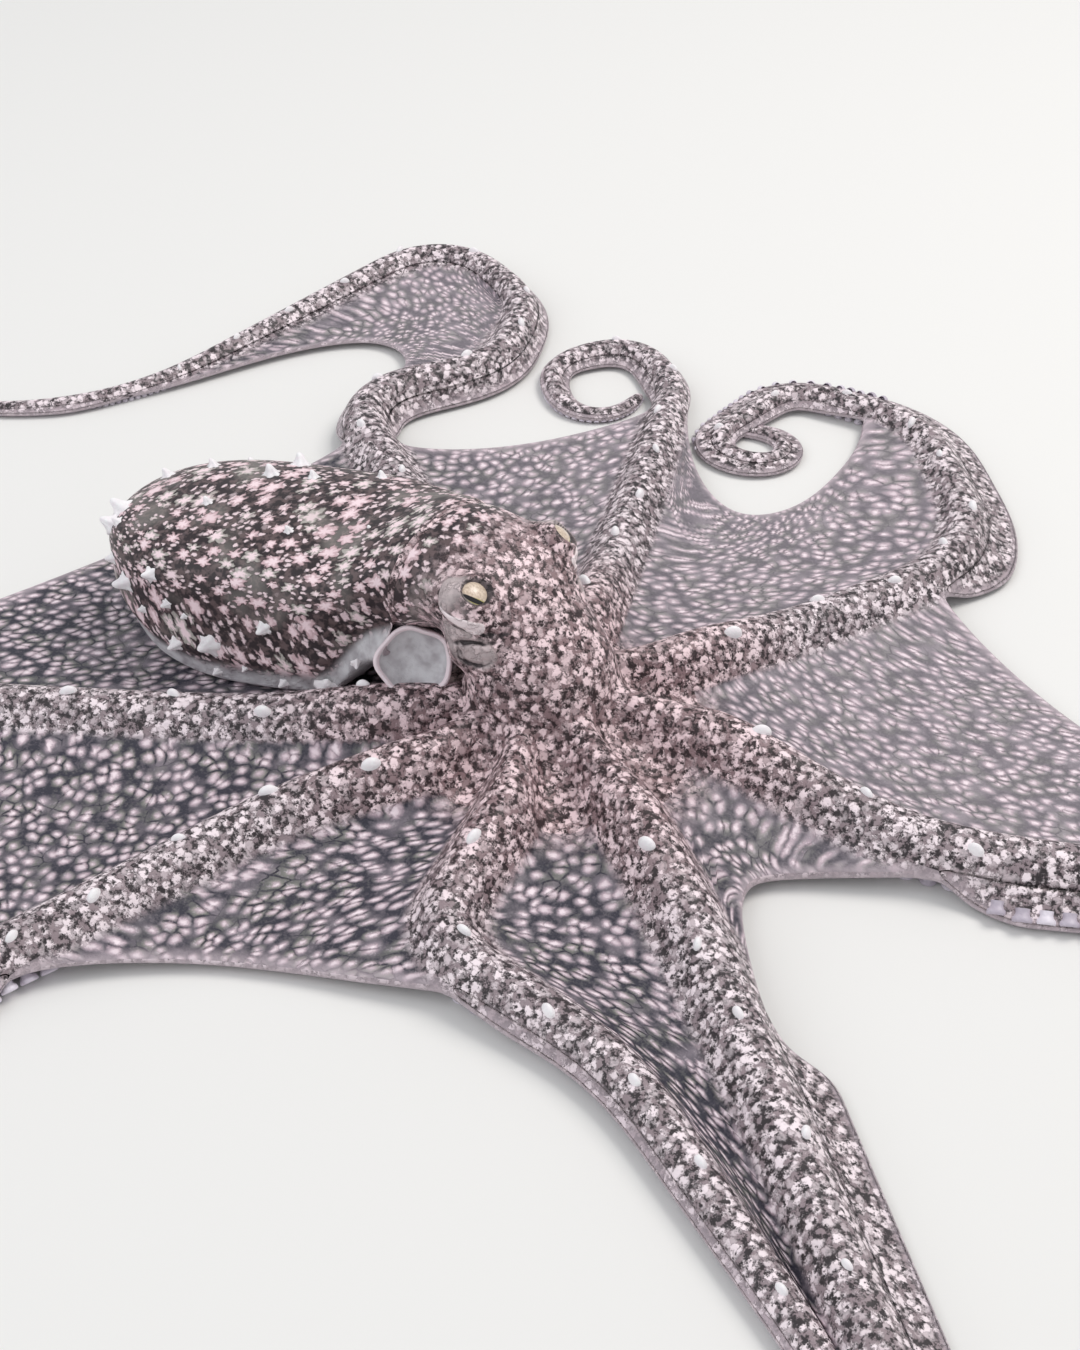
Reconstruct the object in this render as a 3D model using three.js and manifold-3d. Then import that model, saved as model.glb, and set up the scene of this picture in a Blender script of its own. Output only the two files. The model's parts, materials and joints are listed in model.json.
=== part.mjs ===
// A small sand-dwelling octopus at rest, its eight arms and their webs spread on the floor.
// Millimetres, +Z up. The origin is the centre of the arm crown on the floor; the animal
// faces +X and its left side is +Y.
//
// Nearly every piece is a loft: a row of closed rings with the same number of points. The
// arms follow routes given by a base direction and a few bends, the webs are stretched
// between two routes, and the head and mantle are rings along a curved body axis.

import * as THREE from 'three';
import { mergeVertices } from 'three/addons/utils/BufferGeometryUtils.js';
import Module from 'manifold-3d';

const wasm = await Module();
wasm.setup();

// ---------------------------------------------------------------- driving dimensions

const GAP = 0.3;                  // clearance between neighbouring solids
const SLIVER = 0.03;              // detail finer than this is dropped from a cut surface
const WELD = 1e-3;                // corners closer than this are one corner

// Arms
const ROUTE_START = 14;           // radius from the centre at which every arm route starts
const CROWN_EDGE = 14;            // distance along a route at which the crown ends
const ARM_HALF_WIDTH = 7.2;       // at the crown
const ARM_HEIGHT = 13;            // ridge height of an arm just clear of the crown
const CROWN_LIFT = 6;             // extra height where the arms run up into the crown
const CROWN_LIFT_REACH = 24;
const TIP_HALF_WIDTH = 1.0;
const TIP_HEIGHT = 1.9;
const SOLE_PART = 0.55;           // width of the flat underside as part of the arm's width
const FLANK_PART = 0.5;           // height of the flank as part of the ridge's height
const FLANK_RAISE = 0.5;          // and this much more
const ARM_COLUMNS = [-1, -0.6, 0, 0.6, 1];
const STEP_LENGTH = 18;           // rings along an arm are no further apart than this
const STEP_TURN = 30;             // and turn no more than this, in degrees

// Webs and side membranes
const WEB_ROOT_THICKNESS = 3.2;
const WEB_EDGE_THICKNESS = 1.4;
const WEB_THINS_OVER = 90;
const FLOOR_CLEARANCE = 0.5;      // sheets hang just clear of the floor
const WEB_ROOT_SLACK = 0.15;      // how far the middle of a web sinks towards the floor
const WEB_SLACK = 0.65;
const WEB_SINKS_BY = 0.6;         // part of the way out at which it has sunk fully
const HOLLOW_POWER = 0.8;         // shape of the sag across a web, and of its drawn-in edge
const WEB_TUCK = 0.6;             // how far a web reaches into its arms before it is cut back
const WEB_START = CROWN_EDGE + 2 * GAP;
const WEB_COLUMNS = 5;
const WEB_ROW_STEP = 21;
const FIN_RAMP = 16;              // length over which a side membrane reaches full width
const FIN_NARROWS = 0.5;          // power of the arm's taper by which it narrows again
const FIN_DROOP = 0.6;            // shape of its fall from the flank towards the floor

// Each arm, counter-clockwise from the animal's front left: the direction of its root on
// the crown, the heading it leaves with, its length, its bends [from, to, turn in degrees],
// how far the web on its right and left reaches, the width of the membrane that goes on
// from there, the power of its taper (below 1 keeps it stout for longer), and the places
// where it is parted into lengths.
const ARMS = [
  { name: 'arm_left_1', angle: 22, heading: 6, length: 300, webs: [62, 150], fins: [7, 9],
    bends: [[4, 26, -15], [40, 80, 24], [130, 200, -48], [225, 290, 130]],
    taper: 0.85, cuts: [100, 200] },
  { name: 'arm_left_2', angle: 64, heading: 58, length: 246, webs: [80, 158], fins: [9, 2],
    bends: [[70, 120, 62], [128, 165, 55], [169, 187, 75], [198, 216, 110], [212, 240, 190]],
    taper: 0.85, cuts: [92, 176] },
  { name: 'arm_left_3', angle: 110, heading: 101, length: 206, webs: [112, 112], fins: [1.2, 3],
    bends: [[110, 134, 34], [132, 156, 92], [154, 174, 76], [172, 206, 150]],
    taper: 0.85, cuts: [80, 146] },
  { name: 'arm_left_4', angle: 150, heading: 134, length: 370, webs: [100, 104], fins: [3, 4],
    bends: [[101, 137, -86], [140, 168, 52], [168, 200, 45], [200, 240, 106], [290, 360, -50]],
    taper: 0.85, cuts: [98, 180, 262] },
  { name: 'arm_right_4', angle: 202, heading: 197, length: 300, webs: [150, 150], fins: [8, 8],
    bends: [[110, 190, 14], [200, 290, -150]], taper: 0.85, cuts: [100, 200] },
  { name: 'arm_right_3', angle: 240, heading: 221, length: 290, webs: [150, 100], fins: [7, 10],
    bends: [[28, 60, 20], [100, 170, -35], [190, 280, 140]], taper: 0.85, cuts: [100, 190] },
  { name: 'arm_right_2', angle: 277, heading: 267, length: 290, webs: [50, 150], fins: [1, 4],
    bends: [[30, 54, 80], [60, 100, -26], [130, 200, -40], [200, 285, 120]],
    taper: 1.6, cuts: [70, 170] },
  { name: 'arm_right_1', angle: 320, heading: 318, length: 300, webs: [150, 62], fins: [6, 9],
    bends: [[15, 60, -9], [130, 200, 30], [225, 295, 110]], taper: 0.85, cuts: [100, 200] },
];

// The web on the left of each arm: how far its free edge is drawn in, and the power that
// sets where across the web it is drawn in most (1 is the middle, above 1 is further on).
const WEBS = [
  { name: 'web_left_1_2', drawn: 0.12, lean: 1 },
  { name: 'web_left_2_3', drawn: 0.38, lean: 1.9 },
  { name: 'web_left_3_4', drawn: 0.04, lean: 1 },
  { name: 'web_rear', drawn: 0.03, lean: 1 },
  { name: 'web_right_3_4', drawn: 0.12, lean: 1 },
  { name: 'web_right_2_3', drawn: 0.14, lean: 0.8 },
  { name: 'web_right_1_2', drawn: 0.20, lean: 1 },
  { name: 'web_front', drawn: 0.52, lean: 0.75 },
];

// The membrane inside the hairpin of the left rear arm.
const HAIRPIN = { name: 'web_hairpin', arm: 'arm_left_4', apex: 192, near: 70, far: 130,
  start: 14, drawn: 0.42 };

// Head and mantle: the body axis climbs out of the crown and bends back to lie level.
const BODY_FOOT = [-6, 3, 19];
const FOOT_PITCH = 97;            // degrees from level forward, through straight up
const BEND_OVER = 30;
const BEND_TURN = 97;
const MANTLE_LEVELS = 12;         // the axis levels out this much again towards the tip
const HEAD_YAW = -17;             // the head is turned a little to the animal's right
const NECK = 31.5;                // stations along the axis
const COLLAR = 33;
const YAW_FADES = [25.5, 55.5];   // the stations over which the head's turn is taken back
const COLLAR_TILT = 14;           // the collar's lower edge is set back from its upper edge
const TILT_GROWS = [8, 29.5];     // the stations over which the rings tilt towards the collar
const TILT_FADES = [COLLAR, 71];  // and over which they straighten behind it
const MANTLE_WIDEST = 72;
const MANTLE_TIP = 109;

const FOOT_HALF_WIDTH = 15;
const FOOT_ENDS = 12;             // station at which the foot has narrowed to the head
const HEAD_HALF_WIDTH = 12;
const HEAD_HALF_DEPTH = 11;
const NECK_HALF_WIDTH = 15.5;
const NECK_HALF_DEPTH = 12;
const MANTLE_HALF_WIDTH = 22.8;
const MANTLE_ABOVE = 11.2;        // height of the mantle above its axis, and below it
const MANTLE_BELOW = 20.7;
const MANTLE_FULLNESS = 0.81;     // power that fills out the corners of a section (1: ellipse)
const COLLAR_WIDE = 1.04;         // collar size as parts of the widest section
const COLLAR_ABOVE = 0.45;
const COLLAR_BELOW = 0.8;
const TIP_BLUNTNESS = 2.4;
const TIP_CAP = 0.4;              // the last ring is this far from the tip

const EYE_RADIUS = 4.6;
const EYE_STATION = 19;
const EYE_OUT = 11.5;             // from the axis to the centre of an eyeball
const EYE_UP = 6.5;
const EYE_SWELL = 3.6;            // how far the head swells round an eye,
const EYE_SWELL_ANGLE = 0.55;     // over this angle round the head, in radians,
const EYE_SWELL_LENGTH = 7;       // and this length along it

const FUNNEL_BASE = [-41, 4, 17.5];
const FUNNEL_END = [-28.2, 0.4, 15.6];
const FUNNEL_BASE_RADIUS = 6.0;
const FUNNEL_END_RADIUS = 5.2;
const FUNNEL_WALL = 1.3;
const FUNNEL_DEPTH = 3;

// ---------------------------------------------------------------- small helpers

const DEG = Math.PI / 180;

function smoothstep(x) {
  const t = Math.min(1, Math.max(0, x));
  return t * t * (3 - 2 * t);
}

function ramp(x, [from, to]) {
  return smoothstep((x - from) / (to - from));
}

function mix(a, b, t) {
  return a + (b - a) * t;
}

function steps(from, to, spacing) {
  const count = Math.max(1, Math.round((to - from) / spacing));
  return Array.from({ length: count + 1 }, (_, i) => mix(from, to, i / count));
}

// A closed solid through rings of points that all run the same way round. A 'strip' cap
// joins each point to the one across the ring; a 'fan' cap meets at the ring's middle.
function loft(rings, cap = 'fan') {
  const triangles = [];
  const count = rings[0].length;
  const add = (a, b, c) => triangles.push(...a.toArray(), ...b.toArray(), ...c.toArray());
  for (let k = 0; k + 1 < rings.length; k += 1) {
    for (let i = 0; i < count; i += 1) {
      const j = (i + 1) % count;
      add(rings[k][i], rings[k + 1][i], rings[k + 1][j]);
      add(rings[k][i], rings[k + 1][j], rings[k][j]);
    }
  }
  const close = (ring, flip) => {
    const face = (a, b, c) => (flip ? add(a, c, b) : add(a, b, c));
    if (cap === 'fan') {
      const middle = ring.reduce((sum, p) => sum.add(p), new THREE.Vector3());
      middle.divideScalar(count);
      ring.forEach((p, i) => face(middle, p, ring[(i + 1) % count]));
      return;
    }
    for (let i = 0; i < count / 2 - 1; i += 1) {
      const across = count - 1 - i;
      face(ring[i], ring[i + 1], ring[across]);
      face(ring[i + 1], ring[across - 1], ring[across]);
    }
  };
  close(rings[0], false);
  close(rings[rings.length - 1], true);
  const geometry = new THREE.BufferGeometry();
  geometry.setAttribute('position', new THREE.Float32BufferAttribute(triangles, 3));
  return facingOut(mergeVertices(geometry, WELD));
}

// Turns a closed geometry's faces outward if its signed volume is negative.
function facingOut(geometry) {
  const corner = geometry.attributes.position;
  const [a, b, c] = [new THREE.Vector3(), new THREE.Vector3(), new THREE.Vector3()];
  const order = Array.from(geometry.index.array);
  let volume = 0;
  for (let i = 0; i < order.length; i += 3) {
    a.fromBufferAttribute(corner, order[i]);
    b.fromBufferAttribute(corner, order[i + 1]);
    c.fromBufferAttribute(corner, order[i + 2]);
    volume += a.dot(b.cross(c));
  }
  if (volume < 0) {
    for (let i = 0; i < order.length; i += 3) {
      [order[i + 1], order[i + 2]] = [order[i + 2], order[i + 1]];
    }
    geometry.setIndex(order);
  }
  return geometry;
}

function solidOf(geometry) {
  const plain = new THREE.BufferGeometry();
  plain.setAttribute('position', geometry.attributes.position);
  if (geometry.index) plain.setIndex(geometry.index);
  const merged = mergeVertices(plain, WELD);
  return new wasm.Manifold(new wasm.Mesh({
    numProp: 3,
    vertProperties: Float32Array.from(merged.attributes.position.array),
    triVerts: Uint32Array.from(merged.index.array),
  }));
}

function cutAway(geometry, ...cutters) {
  const left = cutters.reduce((body, cutter) => body.subtract(solidOf(cutter)),
    solidOf(geometry));
  const mesh = left.simplify(SLIVER).getMesh();
  const cut = new THREE.BufferGeometry();
  cut.setAttribute('position', new THREE.BufferAttribute(mesh.vertProperties, 3));
  cut.setIndex(new THREE.BufferAttribute(mesh.triVerts, 1));
  return cut;
}

// ---------------------------------------------------------------- arms

const ROUTE_STEP = 0.5;

function traceRoute(arm) {
  const route = [];
  let x = ROUTE_START * Math.cos(arm.angle * DEG);
  let y = ROUTE_START * Math.sin(arm.angle * DEG);
  for (let s = 0; s <= arm.length + ROUTE_STEP; s += ROUTE_STEP) {
    const turned = arm.bends.reduce(
      (sum, [from, to, turn]) => sum + turn * ramp(s, [from, to]), 0);
    const heading = (arm.heading + turned) * DEG;
    route.push({ x, y, heading });
    x += ROUTE_STEP * Math.cos(heading);
    y += ROUTE_STEP * Math.sin(heading);
  }
  return route;
}

ARMS.forEach((arm) => { arm.route = traceRoute(arm); });

// A point beside an arm's route: 'aside' is to the arm's left, z above the floor.
function beside(arm, s, aside, z) {
  const k = Math.min(arm.route.length - 1.001, Math.max(0, s / ROUTE_STEP));
  const [a, b] = [arm.route[Math.floor(k)], arm.route[Math.floor(k) + 1]];
  const part = k - Math.floor(k);
  const heading = mix(a.heading, b.heading, part);
  return new THREE.Vector3(mix(a.x, b.x, part) - aside * Math.sin(heading),
    mix(a.y, b.y, part) + aside * Math.cos(heading), z);
}

function taper(arm, s) {
  return Math.max(0, 1 - s / arm.length) ** arm.taper;
}

function halfWidth(arm, s) {
  return mix(TIP_HALF_WIDTH, ARM_HALF_WIDTH, taper(arm, s));
}

function ridge(arm, s) {
  const lift = CROWN_LIFT * Math.exp(-(((s - CROWN_EDGE) / CROWN_LIFT_REACH) ** 2));
  return mix(TIP_HEIGHT, ARM_HEIGHT, taper(arm, s)) + lift;
}

// Height of the flank, where a web or a side membrane joins the arm.
function flank(arm, s) {
  return FLANK_PART * ridge(arm, s) + FLANK_RAISE;
}

// Half width of the arm's solid on one side (0 right, 1 left), with its side membrane.
function edgeOf(arm, s, side) {
  const past = s - arm.webs[side] - GAP;
  const fin = arm.fins[side] * smoothstep(past / FIN_RAMP) * taper(arm, s) ** FIN_NARROWS;
  return halfWidth(arm, s) - GAP / 2 + fin;
}

function sheetThickness(s) {
  return mix(WEB_ROOT_THICKNESS, WEB_EDGE_THICKNESS, smoothstep((s - CROWN_EDGE) / WEB_THINS_OVER));
}

function armTop(arm, s, aside) {
  const core = halfWidth(arm, s);
  if (Math.abs(aside) < core) {
    return mix(flank(arm, s), ridge(arm, s), Math.sqrt(1 - (aside / core) ** 2));
  }
  const edge = edgeOf(arm, s, aside < 0 ? 0 : 1);
  const low = Math.min(flank(arm, s), FLOOR_CLEARANCE + sheetThickness(s));
  return mix(flank(arm, s), low, ((Math.abs(aside) - core) / (edge - core)) ** FIN_DROOP);
}

// Stations for the rings of a length, closer together where the arm bends.
function stations(arm, from, to) {
  const fine = steps(from, to, 1);
  const headingAt = (s) => arm.route[Math.min(arm.route.length - 1, Math.round(s / ROUTE_STEP))]
    .heading / DEG;
  const effort = [0];
  for (let i = 1; i < fine.length; i += 1) {
    const turn = Math.abs(headingAt(fine[i]) - headingAt(fine[i - 1]));
    effort.push(effort[i - 1] + (fine[i] - fine[i - 1]) / STEP_LENGTH + turn / STEP_TURN);
  }
  const total = effort[effort.length - 1];
  return steps(0, total, 1).map((wanted) => {
    const i = Math.max(1, effort.findIndex((e) => e >= wanted - 1e-9));
    return mix(fine[i - 1], fine[i], (wanted - effort[i - 1]) / (effort[i] - effort[i - 1]));
  });
}

// The line over the top of an arm from its right edge to its left; 'grow' fattens it.
function armTopLine(arm, s, grow = 0) {
  return ARM_COLUMNS.map((f) => {
    const aside = f * edgeOf(arm, s, f < 0 ? 0 : 1);
    return beside(arm, s, aside + grow * Math.sign(f), armTop(arm, s, aside) + grow);
  });
}

// The underside: a flat sole, and the lower edge of each flank or membrane.
function armUnderLine(arm, s, grow = 0) {
  const sole = SOLE_PART * halfWidth(arm, s);
  return ARM_COLUMNS.map((f) => {
    if (Math.abs(f) < 1) return beside(arm, s, Math.sign(f) * (sole + grow), -grow);
    const aside = f * edgeOf(arm, s, f < 0 ? 0 : 1);
    const low = Math.max(FLOOR_CLEARANCE, armTop(arm, s, aside) - sheetThickness(s));
    return beside(arm, s, aside + grow * f, low - grow);
  });
}

// One or more lengths of an arm, numbered from the crown, as one solid. Grown by a
// clearance it cuts the webs.
function armLengths(arm, parts, grow = 0) {
  const ends = [CROWN_EDGE, ...arm.cuts, arm.length];
  const rings = parts.flatMap((part) => stations(arm, ends[part] + GAP, ends[part + 1]));
  rings[0] -= grow;
  rings[rings.length - 1] += grow;
  return loft(rings.map(
    (s) => [...armTopLine(arm, s, grow), ...armUnderLine(arm, s, grow).reverse()]), 'strip');
}

// ---------------------------------------------------------------- webs

// A row of points across a web, over the top and back underneath. 'rowAt' says, for the
// place across the web, how far out the row is on each arm and how far it sinks.
function webRow(a, sideA, b, sideB, lean, rowAt) {
  const across = steps(0, 1, 1 / WEB_COLUMNS).map((u) => {
    const bell = (4 * u ** lean * (1 - u ** lean)) ** HOLLOW_POWER;
    const { sa, sb, slack } = rowAt(bell);
    const start = beside(a, sa, sideA * (halfWidth(a, sa) - WEB_TUCK), flank(a, sa));
    const end = beside(b, sb, sideB * (halfWidth(b, sb) - WEB_TUCK), flank(b, sb));
    const point = start.lerp(end, u);
    const thickness = sheetThickness(mix(sa, sb, u));
    const low = Math.min(FLOOR_CLEARANCE + thickness, point.z);
    point.z = mix(point.z, low, slack * (4 * u * (1 - u)) ** HOLLOW_POWER);
    return { point, thickness };
  });
  const under = across.map(({ point, thickness }) => point.clone().setZ(
    Math.max(FLOOR_CLEARANCE, point.z - thickness)));
  return [...across.map(({ point }) => point), ...under.reverse()];
}

function webSheet(web, a, b) {
  const reach = Math.max(a.webs[1], b.webs[0]) - CROWN_EDGE;
  const sheet = loft(steps(0, 1, WEB_ROW_STEP / reach).map((t) => webRow(
    a, 1, b, -1, web.lean,
    (bell) => {
      const out = t * (1 - web.drawn * bell);
      return {
        sa: mix(WEB_START, a.webs[1], out),
        sb: mix(WEB_START, b.webs[0], out),
        slack: WEB_ROOT_SLACK + WEB_SLACK * smoothstep(out / WEB_SINKS_BY),
      };
    })), 'strip');
  return cutAway(sheet, armLengths(a, [0, 1], GAP), armLengths(b, [0, 1], GAP));
}

// The sheet inside a hairpin: both of its sides follow the same arm, away from the apex.
function hairpinSheet(pin) {
  const arm = ARMS.find(({ name }) => name === pin.arm);
  const sheet = loft(steps(0, 1, WEB_ROW_STEP / pin.far).map((t) => webRow(
    arm, 1, arm, 1, 1,
    (bell) => {
      const out = t * (1 - pin.drawn * bell);
      return {
        sa: pin.apex - mix(pin.start, pin.near, out),
        sb: pin.apex + mix(pin.start, pin.far, out),
        slack: WEB_SLACK,
      };
    })), 'strip');
  return cutAway(sheet, armLengths(arm, [1, 2, 3], GAP));
}

// ---------------------------------------------------------------- head and mantle

function levelAt(q) {
  const yaw = HEAD_YAW * (1 - ramp(q, YAW_FADES)) * DEG;
  return new THREE.Vector3(Math.cos(yaw), Math.sin(yaw), 0);
}

function pitchAt(q) {
  return FOOT_PITCH + BEND_TURN * Math.min(1, q / BEND_OVER)
    - MANTLE_LEVELS * ramp(q, [COLLAR, MANTLE_TIP]);
}

function pitched(level, pitch) {
  return level.multiplyScalar(Math.cos(pitch * DEG)).setZ(Math.sin(pitch * DEG));
}

// Directions across a ring: its left, and its back (dorsal) side. Around the collar the
// rings are tilted against the axis.
function ringFrame(q) {
  const level = levelAt(q);
  const tilt = q < NECK ? ramp(q, TILT_GROWS) : 1 - ramp(q, TILT_FADES);
  const pitch = pitchAt(q) - COLLAR_TILT * tilt;
  return { left: new THREE.Vector3(-level.y, level.x, 0), dorsal: pitched(level, pitch - 90) };
}

function axisPoint(q) {
  const point = new THREE.Vector3(...BODY_FOOT);
  const stride = 0.5;
  for (let at = 0; at < q; at += stride) {
    const part = Math.min(stride, q - at);
    point.addScaledVector(pitched(levelAt(at), pitchAt(at + part / 2)), part);
  }
  return point;
}

// Half width, height above the axis and depth below it at a station.
function bodySize(q) {
  if (q < COLLAR - GAP / 2) {
    const rise = smoothstep(q / FOOT_ENDS);
    const thin = ramp(q, [EYE_STATION, NECK]);
    const wide = mix(mix(FOOT_HALF_WIDTH, HEAD_HALF_WIDTH, rise), NECK_HALF_WIDTH, thin);
    const deep = mix(mix(FOOT_HALF_WIDTH, HEAD_HALF_DEPTH, rise), NECK_HALF_DEPTH, thin);
    return [wide, deep, deep];
  }
  const back = Math.max(0, (q - MANTLE_WIDEST) / (MANTLE_TIP - MANTLE_WIDEST));
  const front = Math.max(0, (MANTLE_WIDEST - q) / (MANTLE_WIDEST - COLLAR)) ** 2;
  const round = (1 - back ** TIP_BLUNTNESS) ** 0.5;
  return [
    MANTLE_HALF_WIDTH * round * mix(1, COLLAR_WIDE, front),
    MANTLE_ABOVE * round * mix(1, COLLAR_ABOVE, front),
    MANTLE_BELOW * round * mix(1, COLLAR_BELOW, front),
  ];
}

// Swelling of the head around each eye, as an addition to the radius.
function eyeSwell(q, angle) {
  const eyeAngle = Math.atan2(EYE_UP, EYE_OUT);
  const reach = (target) => Math.exp(-(((angle - target) / EYE_SWELL_ANGLE) ** 2));
  return EYE_SWELL * Math.exp(-(((q - EYE_STATION) / EYE_SWELL_LENGTH) ** 2))
    * (reach(eyeAngle) + reach(Math.PI - eyeAngle));
}

function bodyRing(q, count) {
  const { dorsal, left } = ringFrame(q);
  const centre = axisPoint(q);
  const [wide, above, below] = bodySize(q);
  return Array.from({ length: count }, (_, i) => {
    const angle = (2 * Math.PI * i) / count;
    const turned = angle > 1.5 * Math.PI ? angle - 2 * Math.PI : angle;
    const swell = 1 + (q < NECK ? eyeSwell(q, turned) / HEAD_HALF_WIDTH : 0);
    const high = Math.sin(angle) < 0 ? below : above;
    const power = q < NECK ? 1 : MANTLE_FULLNESS;
    const filled = (x) => Math.sign(x) * Math.abs(x) ** power;
    return centre.clone()
      .addScaledVector(left, wide * swell * filled(Math.cos(angle)))
      .addScaledVector(dorsal, high * swell * filled(Math.sin(angle)));
  });
}

const BODY_COLUMNS = 24;
const HEAD_RING_STEP = 3.6;
const MANTLE_ROWS = 11;

function eyeCentre(side) {
  const { dorsal, left } = ringFrame(EYE_STATION);
  return axisPoint(EYE_STATION).addScaledVector(left, side * EYE_OUT)
    .addScaledVector(dorsal, EYE_UP);
}

function eyeball(side, radius) {
  const geometry = new THREE.SphereGeometry(radius, 12, 8);
  const centre = eyeCentre(side);
  return geometry.translate(centre.x, centre.y, centre.z);
}

function headSolid() {
  const rings = steps(GAP, NECK, HEAD_RING_STEP).map((q) => bodyRing(q, BODY_COLUMNS));
  return cutAway(loft(rings), eyeball(1, EYE_RADIUS + GAP), eyeball(-1, EYE_RADIUS + GAP));
}

function mantleSolid() {
  const rings = steps(0, 1, 1 / MANTLE_ROWS).map(
    (t) => bodyRing(mix(COLLAR, MANTLE_TIP - TIP_CAP, Math.sin((t * Math.PI) / 2)),
      BODY_COLUMNS));
  return cutAway(loft(rings), funnelSolid(GAP));
}

// ---------------------------------------------------------------- crown

const CROWN_WEB_PARTS = [0, 1 / 2];
const CROWN_SLOPE_ROWS = 4;
const CROWN_SOLE_PARTS = [0.62, 0.3];   // sizes of the flat rings under the crown

// One turn round the crown's rim: across each arm, then over the web to the next one.
function crownRim(lineOf) {
  return ARMS.flatMap((arm, i) => {
    const line = lineOf(arm, CROWN_EDGE);
    const start = line[line.length - 1];
    const end = lineOf(ARMS[(i + 1) % ARMS.length], CROWN_EDGE)[0];
    return [...line.slice(0, -1), ...CROWN_WEB_PARTS.map((u) => start.clone().lerp(end, u))];
  });
}

function crownSolid() {
  const rimTop = crownRim(armTopLine);
  const rimUnder = crownRim(armUnderLine);
  const { dorsal, left } = ringFrame(0);
  const foot = new THREE.Vector3(...BODY_FOOT);
  const footRing = rimTop.map((p) => {
    const away = p.clone().sub(foot);
    const angle = Math.atan2(away.dot(dorsal), away.dot(left));
    return foot.clone().addScaledVector(left, FOOT_HALF_WIDTH * Math.cos(angle))
      .addScaledVector(dorsal, FOOT_HALF_WIDTH * Math.sin(angle));
  });
  const slope = steps(0, 1, 1 / CROWN_SLOPE_ROWS).map((v) => footRing.map((p, i) => {
    const out = 1 - Math.cos((v * Math.PI) / 2);
    const down = Math.sin((v * Math.PI) / 2);
    const q = p.clone().lerp(rimTop[i], out);
    return q.setZ(mix(p.z, rimTop[i].z, down));
  }));
  const flat = CROWN_SOLE_PARTS.map((part) => rimUnder.map((p) => new THREE.Vector3(
    p.x * part, p.y * part, 0)));
  return loft([...slope, rimUnder, ...flat]);
}

// ---------------------------------------------------------------- funnel

// A short open tube that leaves the mantle's opening under the neck. Grown by a clearance
// it is a plain plug that makes room for the funnel in the mantle.
function funnelSolid(grow = 0) {
  const axis = new THREE.Vector3(...FUNNEL_END).sub(new THREE.Vector3(...FUNNEL_BASE));
  const length = axis.length();
  const bore = FUNNEL_END_RADIUS - FUNNEL_WALL;
  const outside = [[0, -grow], [FUNNEL_BASE_RADIUS + grow, -grow],
    [FUNNEL_END_RADIUS + grow, length + grow]];
  const inside = grow > 0 ? [[0, length + grow]]
    : [[bore, length], [bore, length - FUNNEL_DEPTH], [0, length - FUNNEL_DEPTH]];
  const profile = [...outside, ...inside].map(([r, y]) => new THREE.Vector2(r, y));
  const geometry = new THREE.LatheGeometry(profile, 16);
  geometry.deleteAttribute('normal');
  geometry.deleteAttribute('uv');
  geometry.applyQuaternion(new THREE.Quaternion().setFromUnitVectors(
    new THREE.Vector3(0, 1, 0), axis.normalize()));
  return geometry.translate(...FUNNEL_BASE);
}

// ---------------------------------------------------------------- assembly

const SKIN = { roughness: 0.6, metalness: 0 };
const materials = {
  mantle: new THREE.MeshStandardMaterial({ color: 0x4a3b40, ...SKIN }),
  head: new THREE.MeshStandardMaterial({ color: 0x6a5552, ...SKIN }),
  arm: new THREE.MeshStandardMaterial({ color: 0x8d8480, ...SKIN }),
  web: new THREE.MeshStandardMaterial({ color: 0x5d5666, ...SKIN }),
  funnel: new THREE.MeshStandardMaterial({ color: 0xb4b2ba, ...SKIN }),
  eye: new THREE.MeshStandardMaterial({ color: 0xb8ad98, roughness: 0.15, metalness: 0 }),
};

const octopus = new THREE.Group();

function addPiece(name, geometry, material) {
  const mesh = new THREE.Mesh(geometry, material);
  mesh.name = name;
  octopus.add(mesh);
}

addPiece('crown', crownSolid(), materials.head);
addPiece('head', headSolid(), materials.head);
addPiece('mantle', mantleSolid(), materials.mantle);
addPiece('funnel', funnelSolid(), materials.funnel);
addPiece('eye_left', eyeball(1, EYE_RADIUS), materials.eye);
addPiece('eye_right', eyeball(-1, EYE_RADIUS), materials.eye);

ARMS.forEach((arm, i) => {
  [...arm.cuts, arm.length].forEach((_, part) => {
    addPiece(`${arm.name}_${'abcd'[part]}`, armLengths(arm, [part]), materials.arm);
  });
  addPiece(WEBS[i].name, webSheet(WEBS[i], arm, ARMS[(i + 1) % ARMS.length]), materials.web);
});
addPiece(HAIRPIN.name, hairpinSheet(HAIRPIN), materials.web);

export default octopus;
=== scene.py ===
# %% [markdown]
# # A sand-dwelling octopus at rest
# The animal lies with its eight arms and their webs spread on the floor. Its flesh is one
# continuous skin, so it is made here as one closed mesh: a top sheet and an underside that
# meet along the free edges, and a tube that rises from the middle as head and mantle.
# The solids of the frame say where everything is. This script only dresses them.

import json
import math
from types import SimpleNamespace

import bmesh
import bpy
import numpy as np
from mathutils import Matrix, Vector

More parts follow.
